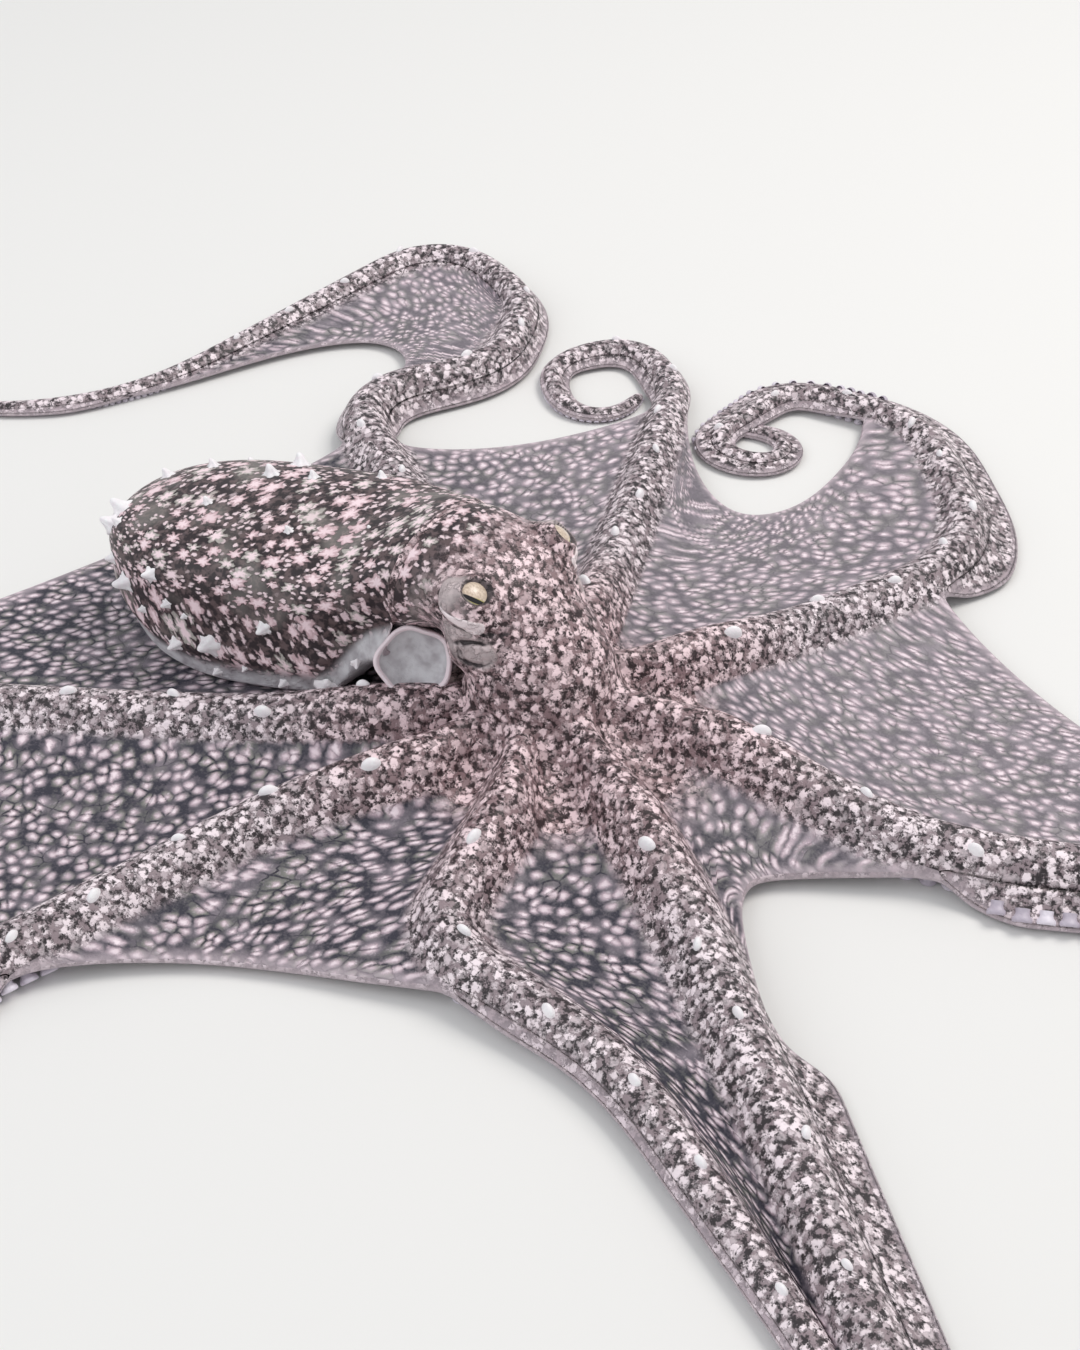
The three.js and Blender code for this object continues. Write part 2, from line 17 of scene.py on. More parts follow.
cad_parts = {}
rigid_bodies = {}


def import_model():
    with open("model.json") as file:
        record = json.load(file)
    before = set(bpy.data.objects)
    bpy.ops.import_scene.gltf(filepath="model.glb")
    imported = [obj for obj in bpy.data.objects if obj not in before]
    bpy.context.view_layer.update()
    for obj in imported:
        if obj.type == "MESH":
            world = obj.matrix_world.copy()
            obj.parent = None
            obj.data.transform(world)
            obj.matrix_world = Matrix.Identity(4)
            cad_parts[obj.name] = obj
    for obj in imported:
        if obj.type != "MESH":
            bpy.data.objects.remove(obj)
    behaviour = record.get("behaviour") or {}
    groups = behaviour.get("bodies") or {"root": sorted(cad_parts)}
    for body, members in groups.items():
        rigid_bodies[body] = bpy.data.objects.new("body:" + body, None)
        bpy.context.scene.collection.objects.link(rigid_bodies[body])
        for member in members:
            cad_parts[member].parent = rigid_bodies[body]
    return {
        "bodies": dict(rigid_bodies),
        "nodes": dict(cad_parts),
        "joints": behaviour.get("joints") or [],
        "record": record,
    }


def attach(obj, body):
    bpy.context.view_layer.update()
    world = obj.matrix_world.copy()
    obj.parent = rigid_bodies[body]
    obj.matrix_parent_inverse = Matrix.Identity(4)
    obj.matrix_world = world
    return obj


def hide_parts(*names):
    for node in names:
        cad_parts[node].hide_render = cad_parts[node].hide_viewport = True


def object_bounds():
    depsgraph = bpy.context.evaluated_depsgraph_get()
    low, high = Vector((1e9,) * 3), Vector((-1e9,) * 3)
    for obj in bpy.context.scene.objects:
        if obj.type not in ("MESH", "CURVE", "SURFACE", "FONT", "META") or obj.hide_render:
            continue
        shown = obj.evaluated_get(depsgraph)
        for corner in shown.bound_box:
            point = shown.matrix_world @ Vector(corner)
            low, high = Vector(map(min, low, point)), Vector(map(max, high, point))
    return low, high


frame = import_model()
cad_box = [list(corner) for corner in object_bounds()]
print("frame nodes:", len(frame["nodes"]), " box in metres:", cad_box)

MM = 0.001
UP = np.array([0.0, 0.0, 1.0])
rng = np.random.default_rng(8)


def add_object(name, data):
    """A new object of the scene that shows this mesh, camera or lamp."""
    obj = bpy.data.objects.new(name, data)
    bpy.context.scene.collection.objects.link(obj)
    return obj


def unit(direction):
    return direction / np.linalg.norm(direction)


# %% [markdown]
# ## Camera
# The camera stands above the animal's right side, a little ahead of it, and looks down
# across the back. A camera that looks down by a known angle is placed by its height and
# heading alone. Its sensor lies along the longer side of the image.

# %% Camera
CAMERA_PLACE = (126.5, -294.7, 283.0)     # millimetres
CAMERA_HEADING = 24.0                     # degrees, turned left from looking along +Y
CAMERA_DOWN = 39.0
CAMERA_LENS = 58.67                       # millimetres, on a 36 mm sensor
CAMERA_SENSOR = 36.0
CAMERA_NEAR = 0.01                        # metres, where the view begins


def make_camera():
    data = bpy.data.cameras.new("camera")
    data.lens = CAMERA_LENS
    data.sensor_width = CAMERA_SENSOR
    data.clip_start = CAMERA_NEAR
    camera = add_object("camera", data)
    camera.location = [MM * x for x in CAMERA_PLACE]
    camera.rotation_euler = (math.radians(90 - CAMERA_DOWN), 0, math.radians(CAMERA_HEADING))
    bpy.context.scene.camera = camera
    return camera


camera = make_camera()
print("camera at", tuple(round(x, 3) for x in camera.location))

# %% [markdown]
# ## The driving sizes
# An arm is a route on the floor, given by its first heading and a few bends, with a width
# and a height that taper to the tip. The web between two arms is stretched from route to
# route. The same named sizes shape the solids, so the skin lies on them. Lengths are in
# millimetres from here on, and become metres when a mesh is made.

# %% Sizes of arms and webs
ROUTE_START = 14.0
ROUTE_STEP = 0.5
CROWN_EDGE = 14.0
ARM_HALF_WIDTH = 7.2
ARM_HEIGHT = 13.0
CROWN_LIFT = 6.0
CROWN_LIFT_REACH = 24.0
TIP_HALF_WIDTH = 1.0
TIP_HEIGHT = 1.9
TIP_ROUNDS_OVER = 2.2
FIN_RAMP = 16.0
WEB_ROOT_THICKNESS = 3.2
WEB_EDGE_THICKNESS = 1.4
WEB_THINS_OVER = 90.0
FLOOR_CLEARANCE = 0.5
WEB_ROOT_SLACK = 0.15
WEB_SLACK = 0.65
GRAIN = 0.8                               # spacing of the top's corners
UNDER_GRAIN = 1.4                         # and of the underside's


def arm(name, angle, heading, length, webs, fins, bends, taper=0.85):
    return SimpleNamespace(name=name, angle=angle, heading=heading, length=length,
                           webs=webs, fins=fins, bends=bends, taper=taper)


ARMS = [
    arm("arm_left_1", 22, 6, 300, (62, 150), (7, 9),
        [(4, 26, -15), (40, 80, 24), (130, 200, -48), (225, 290, 130)]),
    arm("arm_left_2", 64, 58, 246, (80, 158), (9, 2),
        [(70, 120, 62), (128, 165, 55), (169, 187, 75), (198, 216, 110), (212, 240, 190)]),
    arm("arm_left_3", 110, 101, 206, (112, 112), (1.2, 3),
        [(110, 134, 34), (132, 156, 92), (154, 174, 76), (172, 206, 150)]),
    arm("arm_left_4", 150, 134, 370, (100, 104), (3, 4),
        [(101, 137, -86), (140, 168, 52), (168, 200, 45), (200, 240, 106), (290, 360, -50)]),
    arm("arm_right_4", 202, 197, 300, (150, 150), (8, 8),
        [(110, 190, 14), (200, 290, -150)]),
    arm("arm_right_3", 240, 221, 290, (150, 100), (7, 10),
        [(28, 60, 20), (100, 170, -35), (190, 280, 140)]),
    arm("arm_right_2", 277, 267, 290, (50, 150), (1, 4),
        [(30, 54, 80), (60, 100, -26), (130, 200, -40), (200, 285, 120)], taper=1.6),
    arm("arm_right_1", 320, 318, 300, (150, 62), (6, 9),
        [(15, 60, -9), (130, 200, 30), (225, 295, 110)]),
]

WEBS = [("web_left_1_2", 0.12, 1.0), ("web_left_2_3", 0.38, 1.9), ("web_left_3_4", 0.04, 1.0),
        ("web_rear", 0.03, 1.0), ("web_right_3_4", 0.12, 1.0), ("web_right_2_3", 0.14, 0.8),
        ("web_right_1_2", 0.20, 1.0), ("web_front", 0.52, 0.75)]

# The left rear arm turns back on itself, and a small web fills the bend.
HAIRPIN = SimpleNamespace(arm=ARMS[3], apex=192, near=70, far=130, drawn=0.42)


def joined_stretches(a, side):
    """The stretches of an arm's edge that a web hangs from. Between them it is free."""
    stretches = [(CROWN_EDGE, a.webs[side])]
    if a is HAIRPIN.arm and side == 1:
        stretches.append((HAIRPIN.apex - HAIRPIN.near, HAIRPIN.apex + HAIRPIN.far))
    return stretches


print("arms:", len(ARMS), " total length of the arms in mm:", sum(a.length for a in ARMS))


# %% Ramps, mixes and steps
def smoothstep(x):
    x = np.clip(x, 0, 1)
    return x * x * (3 - 2 * x)


def ramp(x, start, end):
    return smoothstep((x - start) / (end - start))


def mix(a, b, t):
    return a + (b - a) * t


def hump(x, middle, reach):
    return np.exp(-((x - middle) / reach) ** 2)


def spaced(start, end, spacing):
    return np.linspace(start, end, max(2, int(round(abs(end - start) / spacing)) + 1))


# %% Routes
def trace(a):
    a.s = np.arange(0, a.length + 2 * ROUTE_STEP, ROUTE_STEP)
    turned = sum(turn * ramp(a.s, start, end) for start, end, turn in a.bends)
    a.turned = np.radians(a.heading + turned)
    way = np.radians(a.angle)
    a.x = ROUTE_START * np.cos(way) + np.append(0, np.cumsum(ROUTE_STEP * np.cos(a.turned)))[:-1]
    a.y = ROUTE_START * np.sin(way) + np.append(0, np.cumsum(ROUTE_STEP * np.sin(a.turned)))[:-1]


for each in ARMS:
    trace(each)


def headings(a, s, stray=0.0):
    """The way an arm runs at one place on its route, and the way to its left."""
    turned = float(np.interp(s, a.s, a.turned)) + stray
    ahead = np.array([math.cos(turned), math.sin(turned), 0])
    return ahead, np.array([-math.sin(turned), math.cos(turned), 0])


def beside(a, s, aside, z):
    """Points beside an arm's route: aside is to the arm's left, z above the floor."""
    s, aside, z = np.broadcast_arrays(s, aside, z)
    turned = np.interp(s, a.s, a.turned)
    return np.stack([np.interp(s, a.s, a.x) - aside * np.sin(turned),
                     np.interp(s, a.s, a.y) + aside * np.cos(turned), z], -1)


# %% [markdown]
# ## The arm's section
# An arm at rest is a low ridge. Its sole is flat, its flanks run out into the web on each
# side, and past the web's free edge a narrow membrane goes on towards the tip.

# %% Heights and widths along an arm
FLANK_RISES = 0.5      # a flank stands this share of the ridge high, and FLANK_LIFT more
FLANK_LIFT = 0.5
FIN_TAPER = 0.5


def taper_of(a, s):
    return np.clip(1 - s / a.length, 0, 1) ** a.taper


def tip_round(a, s):
    """Closes the last stretch like a fingertip."""
    return np.sqrt(np.clip(1 - np.clip((s - a.length) / TIP_ROUNDS_OVER + 1, 0, 1) ** 2, 0, 1))


def half_width(a, s):
    return mix(TIP_HALF_WIDTH, ARM_HALF_WIDTH, taper_of(a, s)) * tip_round(a, s)


def ridge(a, s):
    lift = CROWN_LIFT * hump(s, CROWN_EDGE, CROWN_LIFT_REACH)
    return mix(TIP_HEIGHT, ARM_HEIGHT, taper_of(a, s)) + lift


def flank(a, s):
    return FLANK_RISES * ridge(a, s) + FLANK_LIFT


def sheet_thickness(s):
    thins = ramp(s, CROWN_EDGE, CROWN_EDGE + WEB_THINS_OVER)
    return mix(WEB_ROOT_THICKNESS, WEB_EDGE_THICKNESS, thins)


def fin_width(a, s, side):
    """Width of the free membrane: it grows from where a web ends, and is gone where one starts."""
    width = a.fins[side] * taper_of(a, s) ** FIN_TAPER * tip_round(a, s)
    for start, end in joined_stretches(a, side):
        width = width * np.where(s < (start + end) / 2, smoothstep((start - s) / FIN_RAMP),
                                 smoothstep((s - end) / FIN_RAMP))
    return width


FLANK_SHARE = 0.66     # share of the columns on one side that lie on the arm, the rest on its fin
FINGERTIP_HEIGHT = 0.35
SHOULDER = 2.2         # powers that shape the section: how broad the ridge is,
ROUNDNESS = 0.75       # how steep its flanks are,
FIN_FALLS = 0.6        # and how soon the fin is down at its own thickness
FIN_FULL = 2.0         # width from which a fin falls all the way
SOLE_SHARE = 0.55
SOLE_LIFT = 1.1        # the sole stands this high on its suckers
SOLE_MOST = 0.4        # but at most this share of the arm's height


def across_arm(a, s, c):
    """How far out c is on the arm and on its fin, from 0 to 1, the fin's width and the distance aside."""
    fin = np.where(c < 0, fin_width(a, s, 0), fin_width(a, s, 1))
    on_arm = np.clip(np.abs(c) / FLANK_SHARE, 0, 1)
    on_fin = np.clip((np.abs(c) - FLANK_SHARE) / (1 - FLANK_SHARE), 0, 1)
    return on_arm, on_fin, fin, np.sign(c) * (half_width(a, s) * on_arm + fin * on_fin)


def arm_top(a, s, c):
    """Points on top of an arm. c runs from -1, the outer edge of the right fin, to 1."""
    on_arm, on_fin, fin, aside = across_arm(a, s, c)
    high = ridge(a, s) * mix(FINGERTIP_HEIGHT, 1, tip_round(a, s))
    low = np.minimum(flank(a, s), high)
    z = mix(low, high, np.clip(1 - on_arm ** SHOULDER, 0, 1) ** ROUNDNESS)
    edge = np.minimum(low, FLOOR_CLEARANCE + sheet_thickness(s))
    z = mix(z, edge, on_fin ** FIN_FALLS * np.clip(fin / FIN_FULL, 0, 1))
    return beside(a, s, aside, z)


def sole_height(a, s, top):
    return np.minimum(SOLE_LIFT * np.sqrt(taper_of(a, s)), SOLE_MOST * top)


def arm_under(a, s, c):
    """Points on the underside of an arm, below arm_top of the same s and c."""
    top = arm_top(a, s, c)
    on_arm = across_arm(a, s, c)[0]
    edge_low = np.maximum(FLOOR_CLEARANCE, top[..., 2] - sheet_thickness(s) * tip_round(a, s))
    sole = sole_height(a, s, top[..., 2])
    rise = smoothstep((on_arm - SOLE_SHARE) / (1 - SOLE_SHARE))
    top[..., 2] = mix(sole, edge_low, rise)
    return top


# %% [markdown]
# ## Patches and zips
# The skin is sewn together from patches. Inside a patch the corners form rows. Where two
# rows have different numbers of corners, a zip joins them: it walks along both rows and
# always steps on the one that is behind, which leaves a band of well-shaped triangles. Where
# patches share corners exactly, these are welded afterwards, so no bookkeeping is needed.
# Each patch also carries marks, numbers such as "how much web is this", for the materials.

# %% Patches
MARKS = ("web", "mantle", "head", "under", "edge", "smooth", "crown", "pearl")
CHART_SPAN = 532.0             # the chart's side covers this length
CHART_ORIGIN = (1000.0 * cad_box[0][0] - 2, 1000.0 * cad_box[0][1] - 2)
UNDER_SHRINK = 0.33            # the underside gets a smaller share of the chart
UNDER_CORNER = (0.655, 0.745)
WELD_WITHIN = 2e-3             # corners in the same cell of this size, in millimetres, are one
CELL_STRIDE = 4_000_003        # more cells than there are along any side, to number them all


def flat_chart(points, under):
    """The place on the unwrap: seen from above for the top, and smaller beside it for below."""
    flat = (points[..., :2] - np.array(CHART_ORIGIN)) / CHART_SPAN
    return np.where(under[..., None] > 0.5, flat * UNDER_SHRINK + np.array(UNDER_CORNER), flat)


def has_three_corners(faces):
    """False for a face that welding has closed up, so that it is without area."""
    return (faces != np.roll(faces, 1, axis=1)).all(axis=1)


class Hide:
    """Gathers patches, and makes one welded mesh of them."""

    def __init__(self):
        self.points, self.faces, self.marks, self.count = [], [], [], 0
        self.weave, self.chart = [], []

    def add(self, points, weave, chart=None, **marks):
        """Adds corners, and returns their numbers in the shape of the grid they came in."""
        shape = points.shape[:-1]
        size = int(np.prod(shape))
        self.points.append(points.reshape(size, 3))
        self.weave.append(np.broadcast_to(weave, shape + (2,)).reshape(size, 2))
        if chart is None:
            chart = flat_chart(points, np.broadcast_to(marks.get("under", 0.0), shape))
        self.chart.append(chart.reshape(size, 2))
        table = np.zeros((size, len(MARKS)))
        for name, value in marks.items():
            table[:, MARKS.index(name)] = np.broadcast_to(value, shape).reshape(size)
        self.marks.append(table)
        numbers = self.count + np.arange(size).reshape(shape)
        self.count += size
        return numbers

    def grid(self, numbers, flip=False):
        a, b = numbers[:-1, :-1], numbers[:-1, 1:]
        c, d = numbers[1:, 1:], numbers[1:, :-1]
        self.keep(np.concatenate([np.stack([a, b, c], -1).reshape(-1, 3),
                                  np.stack([a, c, d], -1).reshape(-1, 3)]), flip)

    def zip(self, row, other, at_row, at_other, flip=False):
        """Joins two rows of corners. The at_ values rise along each row alike."""
        keys = np.concatenate([(at_row[1:] + at_row[:-1]) / 2, (at_other[1:] + at_other[:-1]) / 2])
        first = np.arange(len(keys)) < len(row) - 1
        order = np.argsort(keys, kind="stable")
        first = first[order]
        i = np.cumsum(first) - first
        j = np.cumsum(~first) - ~first
        i_next, j_next = np.minimum(i + 1, len(row) - 1), np.minimum(j + 1, len(other) - 1)
        on_row = np.stack([row[i], row[i_next], other[j]], -1)
        on_other = np.stack([row[i], other[j_next], other[j]], -1)
        self.keep(np.where(first[:, None], on_row, on_other), flip)

    def keep(self, faces, flip):
        self.faces.append(faces[:, ::-1] if flip else faces)

    def welded(self):
        """Corners, faces, the patch corner of each face corner, marks, weave and chart."""
        points = np.concatenate(self.points)
        faces = np.concatenate(self.faces)
        cell = np.round(points / WELD_WITHIN).astype(np.int64)
        key = (cell[:, 0] * CELL_STRIDE + cell[:, 1]) * CELL_STRIDE + cell[:, 2]
        _, first, same = np.unique(key, return_index=True, return_inverse=True)
        joined = same.ravel()[faces]
        whole = has_three_corners(joined)
        return (points[first], joined[whole], faces[whole], np.concatenate(self.marks),
                np.concatenate(self.weave), np.concatenate(self.chart))


hide = Hide()

# %% [markdown]
# ## Webs
# Each web is laid as rows from the crown to its free edge. The first and last corner of a
# row stand exactly on the flanks of the two arms, so that the arms can be zipped to them.

# %% Rows of a web
WEB_CELLS = 3.0                # size of one mesh of the dark net on the webs
HOLLOW_POWER = 0.8
WEB_ROW = GRAIN * 1.15
CUSP_SQUEEZE = 3.0             # towards the middle of a drawn-in edge the net is squeezed sideways
SQUEEZE_FROM, SQUEEZE_OVER = 0.45, 0.55
EDGE_FADES = 5.0               # the mark of the free edge fades inward over this length
FLANK_FADES = 1.2              # and the web's own mark starts this many meshes from an arm


def gap_between(a, b, side_b, sa, sb):
    """The distance between the flanks of two arms."""
    start = beside(a, sa, half_width(a, sa), 0.0)
    end = beside(b, sb, side_b * half_width(b, sb), 0.0)
    return float(np.linalg.norm(start - end))


def web_lines(a, b, side_b, drawn, lean, stations_of, slack_of, rows):
    """The rows of one web: for each, the corners' share across u, points, and place on the arms."""
    lines = []
    for t in rows:
        chord = gap_between(a, b, side_b, *stations_of(t))
        u = np.linspace(0, 1, max(3, int(round(chord / GRAIN)) + 1))
        bell = (4 * u ** lean * (1 - u ** lean)) ** HOLLOW_POWER
        out = t * (1 - drawn * bell)
        sa, sb = stations_of(out)
        start = beside(a, sa, half_width(a, sa), flank(a, sa))
        end = beside(b, sb, side_b * half_width(b, sb), flank(b, sb))
        point = mix(start, end, u[:, None])
        thickness = sheet_thickness(mix(sa, sb, u))
        low = np.minimum(FLOOR_CLEARANCE + thickness, point[:, 2])
        sag = slack_of(out) * (4 * u * (1 - u)) ** HOLLOW_POWER
        point[:, 2] = mix(point[:, 2], low, sag)
        under = point.copy()
        under[:, 2] = np.maximum(FLOOR_CLEARANCE, point[:, 2] - thickness)
        width = np.linalg.norm(end - start, axis=1)
        squeeze = 1 + CUSP_SQUEEZE * drawn * bell * smoothstep((t - SQUEEZE_FROM) / SQUEEZE_OVER)
        lines.append(SimpleNamespace(t=t, u=u, out=out, sa=sa, sb=sb, top=point, under=under,
                                     across=(u - 0.5) * width * squeeze / WEB_CELLS))
    return lines


def lay_web(lines, cells, length):
    """Adds a web's top, underside and free edge to the hide."""
    tops, unders = [], []
    for line in lines:
        weave = np.stack([line.across, line.out * length / WEB_CELLS], -1)
        near_edge = smoothstep(1 - (1 - line.t) * length / EDGE_FADES)
        marks = dict(web=smoothstep(np.minimum(line.u, 1 - line.u) * cells * FLANK_FADES), edge=near_edge)
        tops.append(hide.add(line.top, weave, **marks))
        unders.append(hide.add(line.under, weave, under=1.0, **marks))
    for k in range(len(lines) - 1):
        hide.zip(tops[k], tops[k + 1], lines[k].u, lines[k + 1].u, flip=True)
        hide.zip(unders[k], unders[k + 1], lines[k].u, lines[k + 1].u)
    last, inner = lines[-1], lines[-3]
    nearest = np.round(last.u * (len(inner.u) - 1)).astype(int)
    outward = last.top[:, :2] - inner.top[nearest, :2]
    outward /= np.linalg.norm(outward, axis=1, keepdims=True) + 1e-9
    lay_rim(last.top, last.under, outward, weave, flip=False)


RIM_COLUMNS = 4
RIM_SETTLES = 2.5              # the rim's bulge grows over this length from its ends


def lay_rim(top, under, outward, weave, flip):
    """A rounded edge from a row of top corners to the row below them."""
    run = np.append(0, np.cumsum(np.linalg.norm(np.diff(top, axis=0), axis=1)))
    settle = smoothstep(run / RIM_SETTLES) * smoothstep((run[-1] - run) / RIM_SETTLES)
    turn = np.linspace(0, 1, RIM_COLUMNS + 1)[None, :, None]
    body = mix(top[:, None], under[:, None], turn)
    half = (top[:, 2] - under[:, 2])[:, None] / 2 * settle[:, None]
    bulge = np.sin(np.pi * turn[..., 0]) * half
    body[..., :2] += outward[:, None, :] * bulge[..., None]
    numbers = hide.add(body, weave[:, None], edge=1.0, under=turn[..., 0])
    hide.grid(numbers, flip)


# %% Lay the eight webs and the one inside the hairpin
WEB_SINKS_BY = 0.6
WEB_MIDDLE = 0.6               # how far out a web's meshes are counted
FEWEST_CELLS = 6
HAIRPIN_CELLS = 8


def lay_between(a, b, drawn, lean):
    """The web from an arm's left flank to the right flank of the next arm."""
    reach_a, reach_b = a.webs[1], b.webs[0]

    def stations_of(out):
        return mix(CROWN_EDGE, reach_a, out), mix(CROWN_EDGE, reach_b, out)

    def slack_of(out):
        return WEB_ROOT_SLACK + WEB_SLACK * smoothstep(out / WEB_SINKS_BY)

    rows = spaced(0, 1, WEB_ROW / (max(reach_a, reach_b) - CROWN_EDGE))
    lines = web_lines(a, b, -1, drawn, lean, stations_of, slack_of, rows)
    cells = max(FEWEST_CELLS, round(gap_between(a, b, -1, *stations_of(WEB_MIDDLE)) / WEB_CELLS))
    lay_web(lines, cells, (reach_a + reach_b) / 2 - CROWN_EDGE)
    a.left_lines, b.right_lines = lines, lines
    return len(lines), cells


for i, (name, drawn, lean) in enumerate(WEBS):
    print(name, "rows and cells across:", lay_between(ARMS[i], ARMS[(i + 1) % len(ARMS)], drawn, lean))


def hairpin_stations(out):
    return HAIRPIN.apex - HAIRPIN.near * out, HAIRPIN.apex + HAIRPIN.far * out


HAIRPIN.lines = web_lines(HAIRPIN.arm, HAIRPIN.arm, 1, HAIRPIN.drawn, 1.0, hairpin_stations,
                          lambda out: WEB_SLACK, spaced(0, 1, WEB_ROW / HAIRPIN.far))
lay_web(HAIRPIN.lines, HAIRPIN_CELLS, HAIRPIN.far)
print("corners in the webs:", hide.count)

# %% [markdown]
# ## Arms
# An arm is rows across its route. Its inner columns form plain grids. On each side a strip
# joins them to whatever lies there: the flank of a web, or the arm's own free membrane.

# %% Where webs and free membrane meet an arm
CORE_TOP = np.linspace(-FLANK_SHARE, FLANK_SHARE, 25)
CORE_UNDER = np.linspace(-FLANK_SHARE, FLANK_SHARE, 15)
FIN_COLUMNS = np.linspace(FLANK_SHARE, 1, 9)
TIP_ROWS_CLOSER = 5            # the last rows before a tip stand this much closer
RIM_REACH = 2.0                # the mark of the fin's rim fades inward over this width
LEAST_FIN = 0.3                # a narrower fin has no such mark
HAIR = 1e-6


def breaks_of(a):
    ends = {CROWN_EDGE, float(a.length)}
    for side in (0, 1):
        ends.update(float(x) for stretch in joined_stretches(a, side) for x in stretch)
    return sorted(ends)


def stations(a, spacing):
    """Rows along an arm, with one at each place where a web starts or ends."""
    cuts = breaks_of(a)
    parts = [spaced(lo, hi, spacing) for lo, hi in zip(cuts[:-1], cuts[1:])]
    last = parts[-1]
    parts[-1] = np.append(last[:-1], spaced(last[-2], last[-1], spacing / TIP_ROWS_CLOSER)[1:])
    return np.unique(np.concatenate(parts))


def web_side(a, side, start):
    """The corners of the web that starts at this station, from the crown outward."""
    if start == HAIRPIN.apex - HAIRPIN.near and a is HAIRPIN.arm and side == 1:
        near = [(line.sa, line.top, line.under, 0) for line in HAIRPIN.lines[::-1]]
        far = [(line.sb, line.top, line.under, -1) for line in HAIRPIN.lines[1:]]
        rows = near + far
    elif side == 1:
        rows = [(line.sa, line.top, line.under, 0) for line in a.left_lines]
    else:
        rows = [(line.sb, line.top, line.under, -1) for line in a.right_lines]
    along = np.array([np.atleast_1d(s)[end] for s, _, _, end in rows])
    top = np.array([points[end] for _, points, _, end in rows])
    under = np.array([points[end] for _, _, points, end in rows])
    return along, top, under


def arm_weave(a, s, c):
    """The weave on an arm is in true lengths: aside from the route, and along it."""
    return np.stack(np.broadcast_arrays(across_arm(a, s, c)[3], s), -1)


def lay_arm(a):
    for surface, core, spacing, below in ((arm_top, CORE_TOP, GRAIN, 0.0),
                                          (arm_under, CORE_UNDER, UNDER_GRAIN, 1.0)):
        rows = stations(a, spacing)
        inner = core[1:-1]
        s, c = rows[:, None], inner[None, :]
        numbers = hide.add(surface(a, s, c), arm_weave(a, s, c), under=below)
        hide.grid(numbers, flip=below == 0)
        for side in (0, 1):
            column = numbers[:, 0 if side == 0 else -1]
            lay_side(a, surface, rows, column, side, below)


def lay_side(a, surface, rows, column, side, below):
    """Joins an arm's outermost inner column to the webs and to its own free membrane."""
    flip = (side == 1) == (below == 1)
    fine = stations(a, GRAIN)
    joined = joined_stretches(a, side)
    sign = -1 if side == 0 else 1
    for lo, hi in joined:
        along, top, under = web_side(a, side, lo)
        mask = (rows >= lo - HAIR) & (rows <= hi + HAIR)
        weave = arm_weave(a, along, np.full(len(along), sign * FLANK_SHARE))
        edge = hide.add(under if below else top, weave, under=below)
        hide.zip(column[mask], edge, rows[mask] - lo, along - lo, flip)
    free = zip([hi for _, hi in joined], [lo for lo, _ in joined[1:]] + [float(a.length)])
    for lo, hi in free:
        mask = (rows >= lo - HAIR) & (rows <= hi + HAIR)
        span = fine[(fine >= lo - HAIR) & (fine <= hi + HAIR)]
        s, c = span[:, None], sign * FIN_COLUMNS[None, :]
        on_fin = (FIN_COLUMNS[None, :] - FLANK_SHARE) / (1 - FLANK_SHARE)
        width = fin_width(a, s, side)
        rim = smoothstep(1 - (1 - on_fin) * width / RIM_REACH) * (width > LEAST_FIN)
        skirt = hide.add(surface(a, s, c), arm_weave(a, s, c), under=below, edge=rim)
        hide.zip(column[mask], skirt[:, 0], rows[mask] - lo, span - lo, flip)
        hide.grid(skirt, flip)
        if not below:
            top, under = arm_top(a, span, sign * 1.0), arm_under(a, span, sign * 1.0)
            turned = np.interp(span, a.s, a.turned)
            outward = sign * np.stack([-np.sin(turned), np.cos(turned)], -1)
            lay_rim(top, under, outward, arm_weave(a, span, np.full(len(span), float(sign))),
                    flip=side == 1)


for each in ARMS:
    lay_arm(each)
print("corners with the arms:", hide.count)

# %% [markdown]
# ## Head and mantle
# The body axis climbs out of the crown and bends back to lie level. The head is a tube
# around it with a swelling at each eye. The mantle is a bag whose front edge stands free of
# the neck at the sides and below, where water is drawn in, and is grown together with it on
# top. So the skin runs up the neck, folds in under the collar, turns round its edge and goes
# on as the outside of the mantle: one tube all the way to the rear end.

# %% The body's axis
BODY_FOOT = (-6.0, 3.0, 19.0)
FOOT_PITCH = 97.0
BEND_OVER = 30.0
BEND_TURN = 97.0
MANTLE_LEVELS = 12.0
HEAD_YAW = -17.0
NECK = 31.5
COLLAR = 33.0
YAW_FADES = (25.5, 55.5)
COLLAR_TILT = 14.0
TILT_GROWS = (8.0, 29.5)
TILT_FADES = (33.0, 71.0)
MANTLE_WIDEST = 72.0
MANTLE_TIP = 109.0


def level_at(q):
    yaw = np.radians(HEAD_YAW * (1 - ramp(q, *YAW_FADES)))
    return np.stack([np.cos(yaw), np.sin(yaw), np.zeros_like(yaw)], -1)


def pitch_at(q):
    return (FOOT_PITCH + BEND_TURN * np.minimum(1, q / BEND_OVER)
            - MANTLE_LEVELS * ramp(q, COLLAR, MANTLE_TIP))


def pitched(level, pitch):
    pitch = np.radians(pitch)[..., None]
    return level * np.cos(pitch) + UP * np.sin(pitch)


def ring_frame(q):
    """The directions to the body's left and to its back, across a ring."""
    level = level_at(q)
    tilt = np.where(q < NECK, ramp(q, *TILT_GROWS), 1 - ramp(q, *TILT_FADES))
    pitch = pitch_at(q) - COLLAR_TILT * tilt
    left = np.stack([-level[..., 1], level[..., 0], np.zeros_like(q)], -1)
    return left, pitched(level, pitch - 90)


AXIS_STEP = 0.5
AXIS_Q = np.arange(0, MANTLE_TIP + AXIS_STEP, AXIS_STEP)
axis_steps = pitched(level_at(AXIS_Q[:-1]), pitch_at(AXIS_Q[:-1] + AXIS_STEP / 2)) * AXIS_STEP
AXIS = np.array(BODY_FOOT) + np.concatenate([np.zeros((1, 3)), np.cumsum(axis_steps, axis=0)])


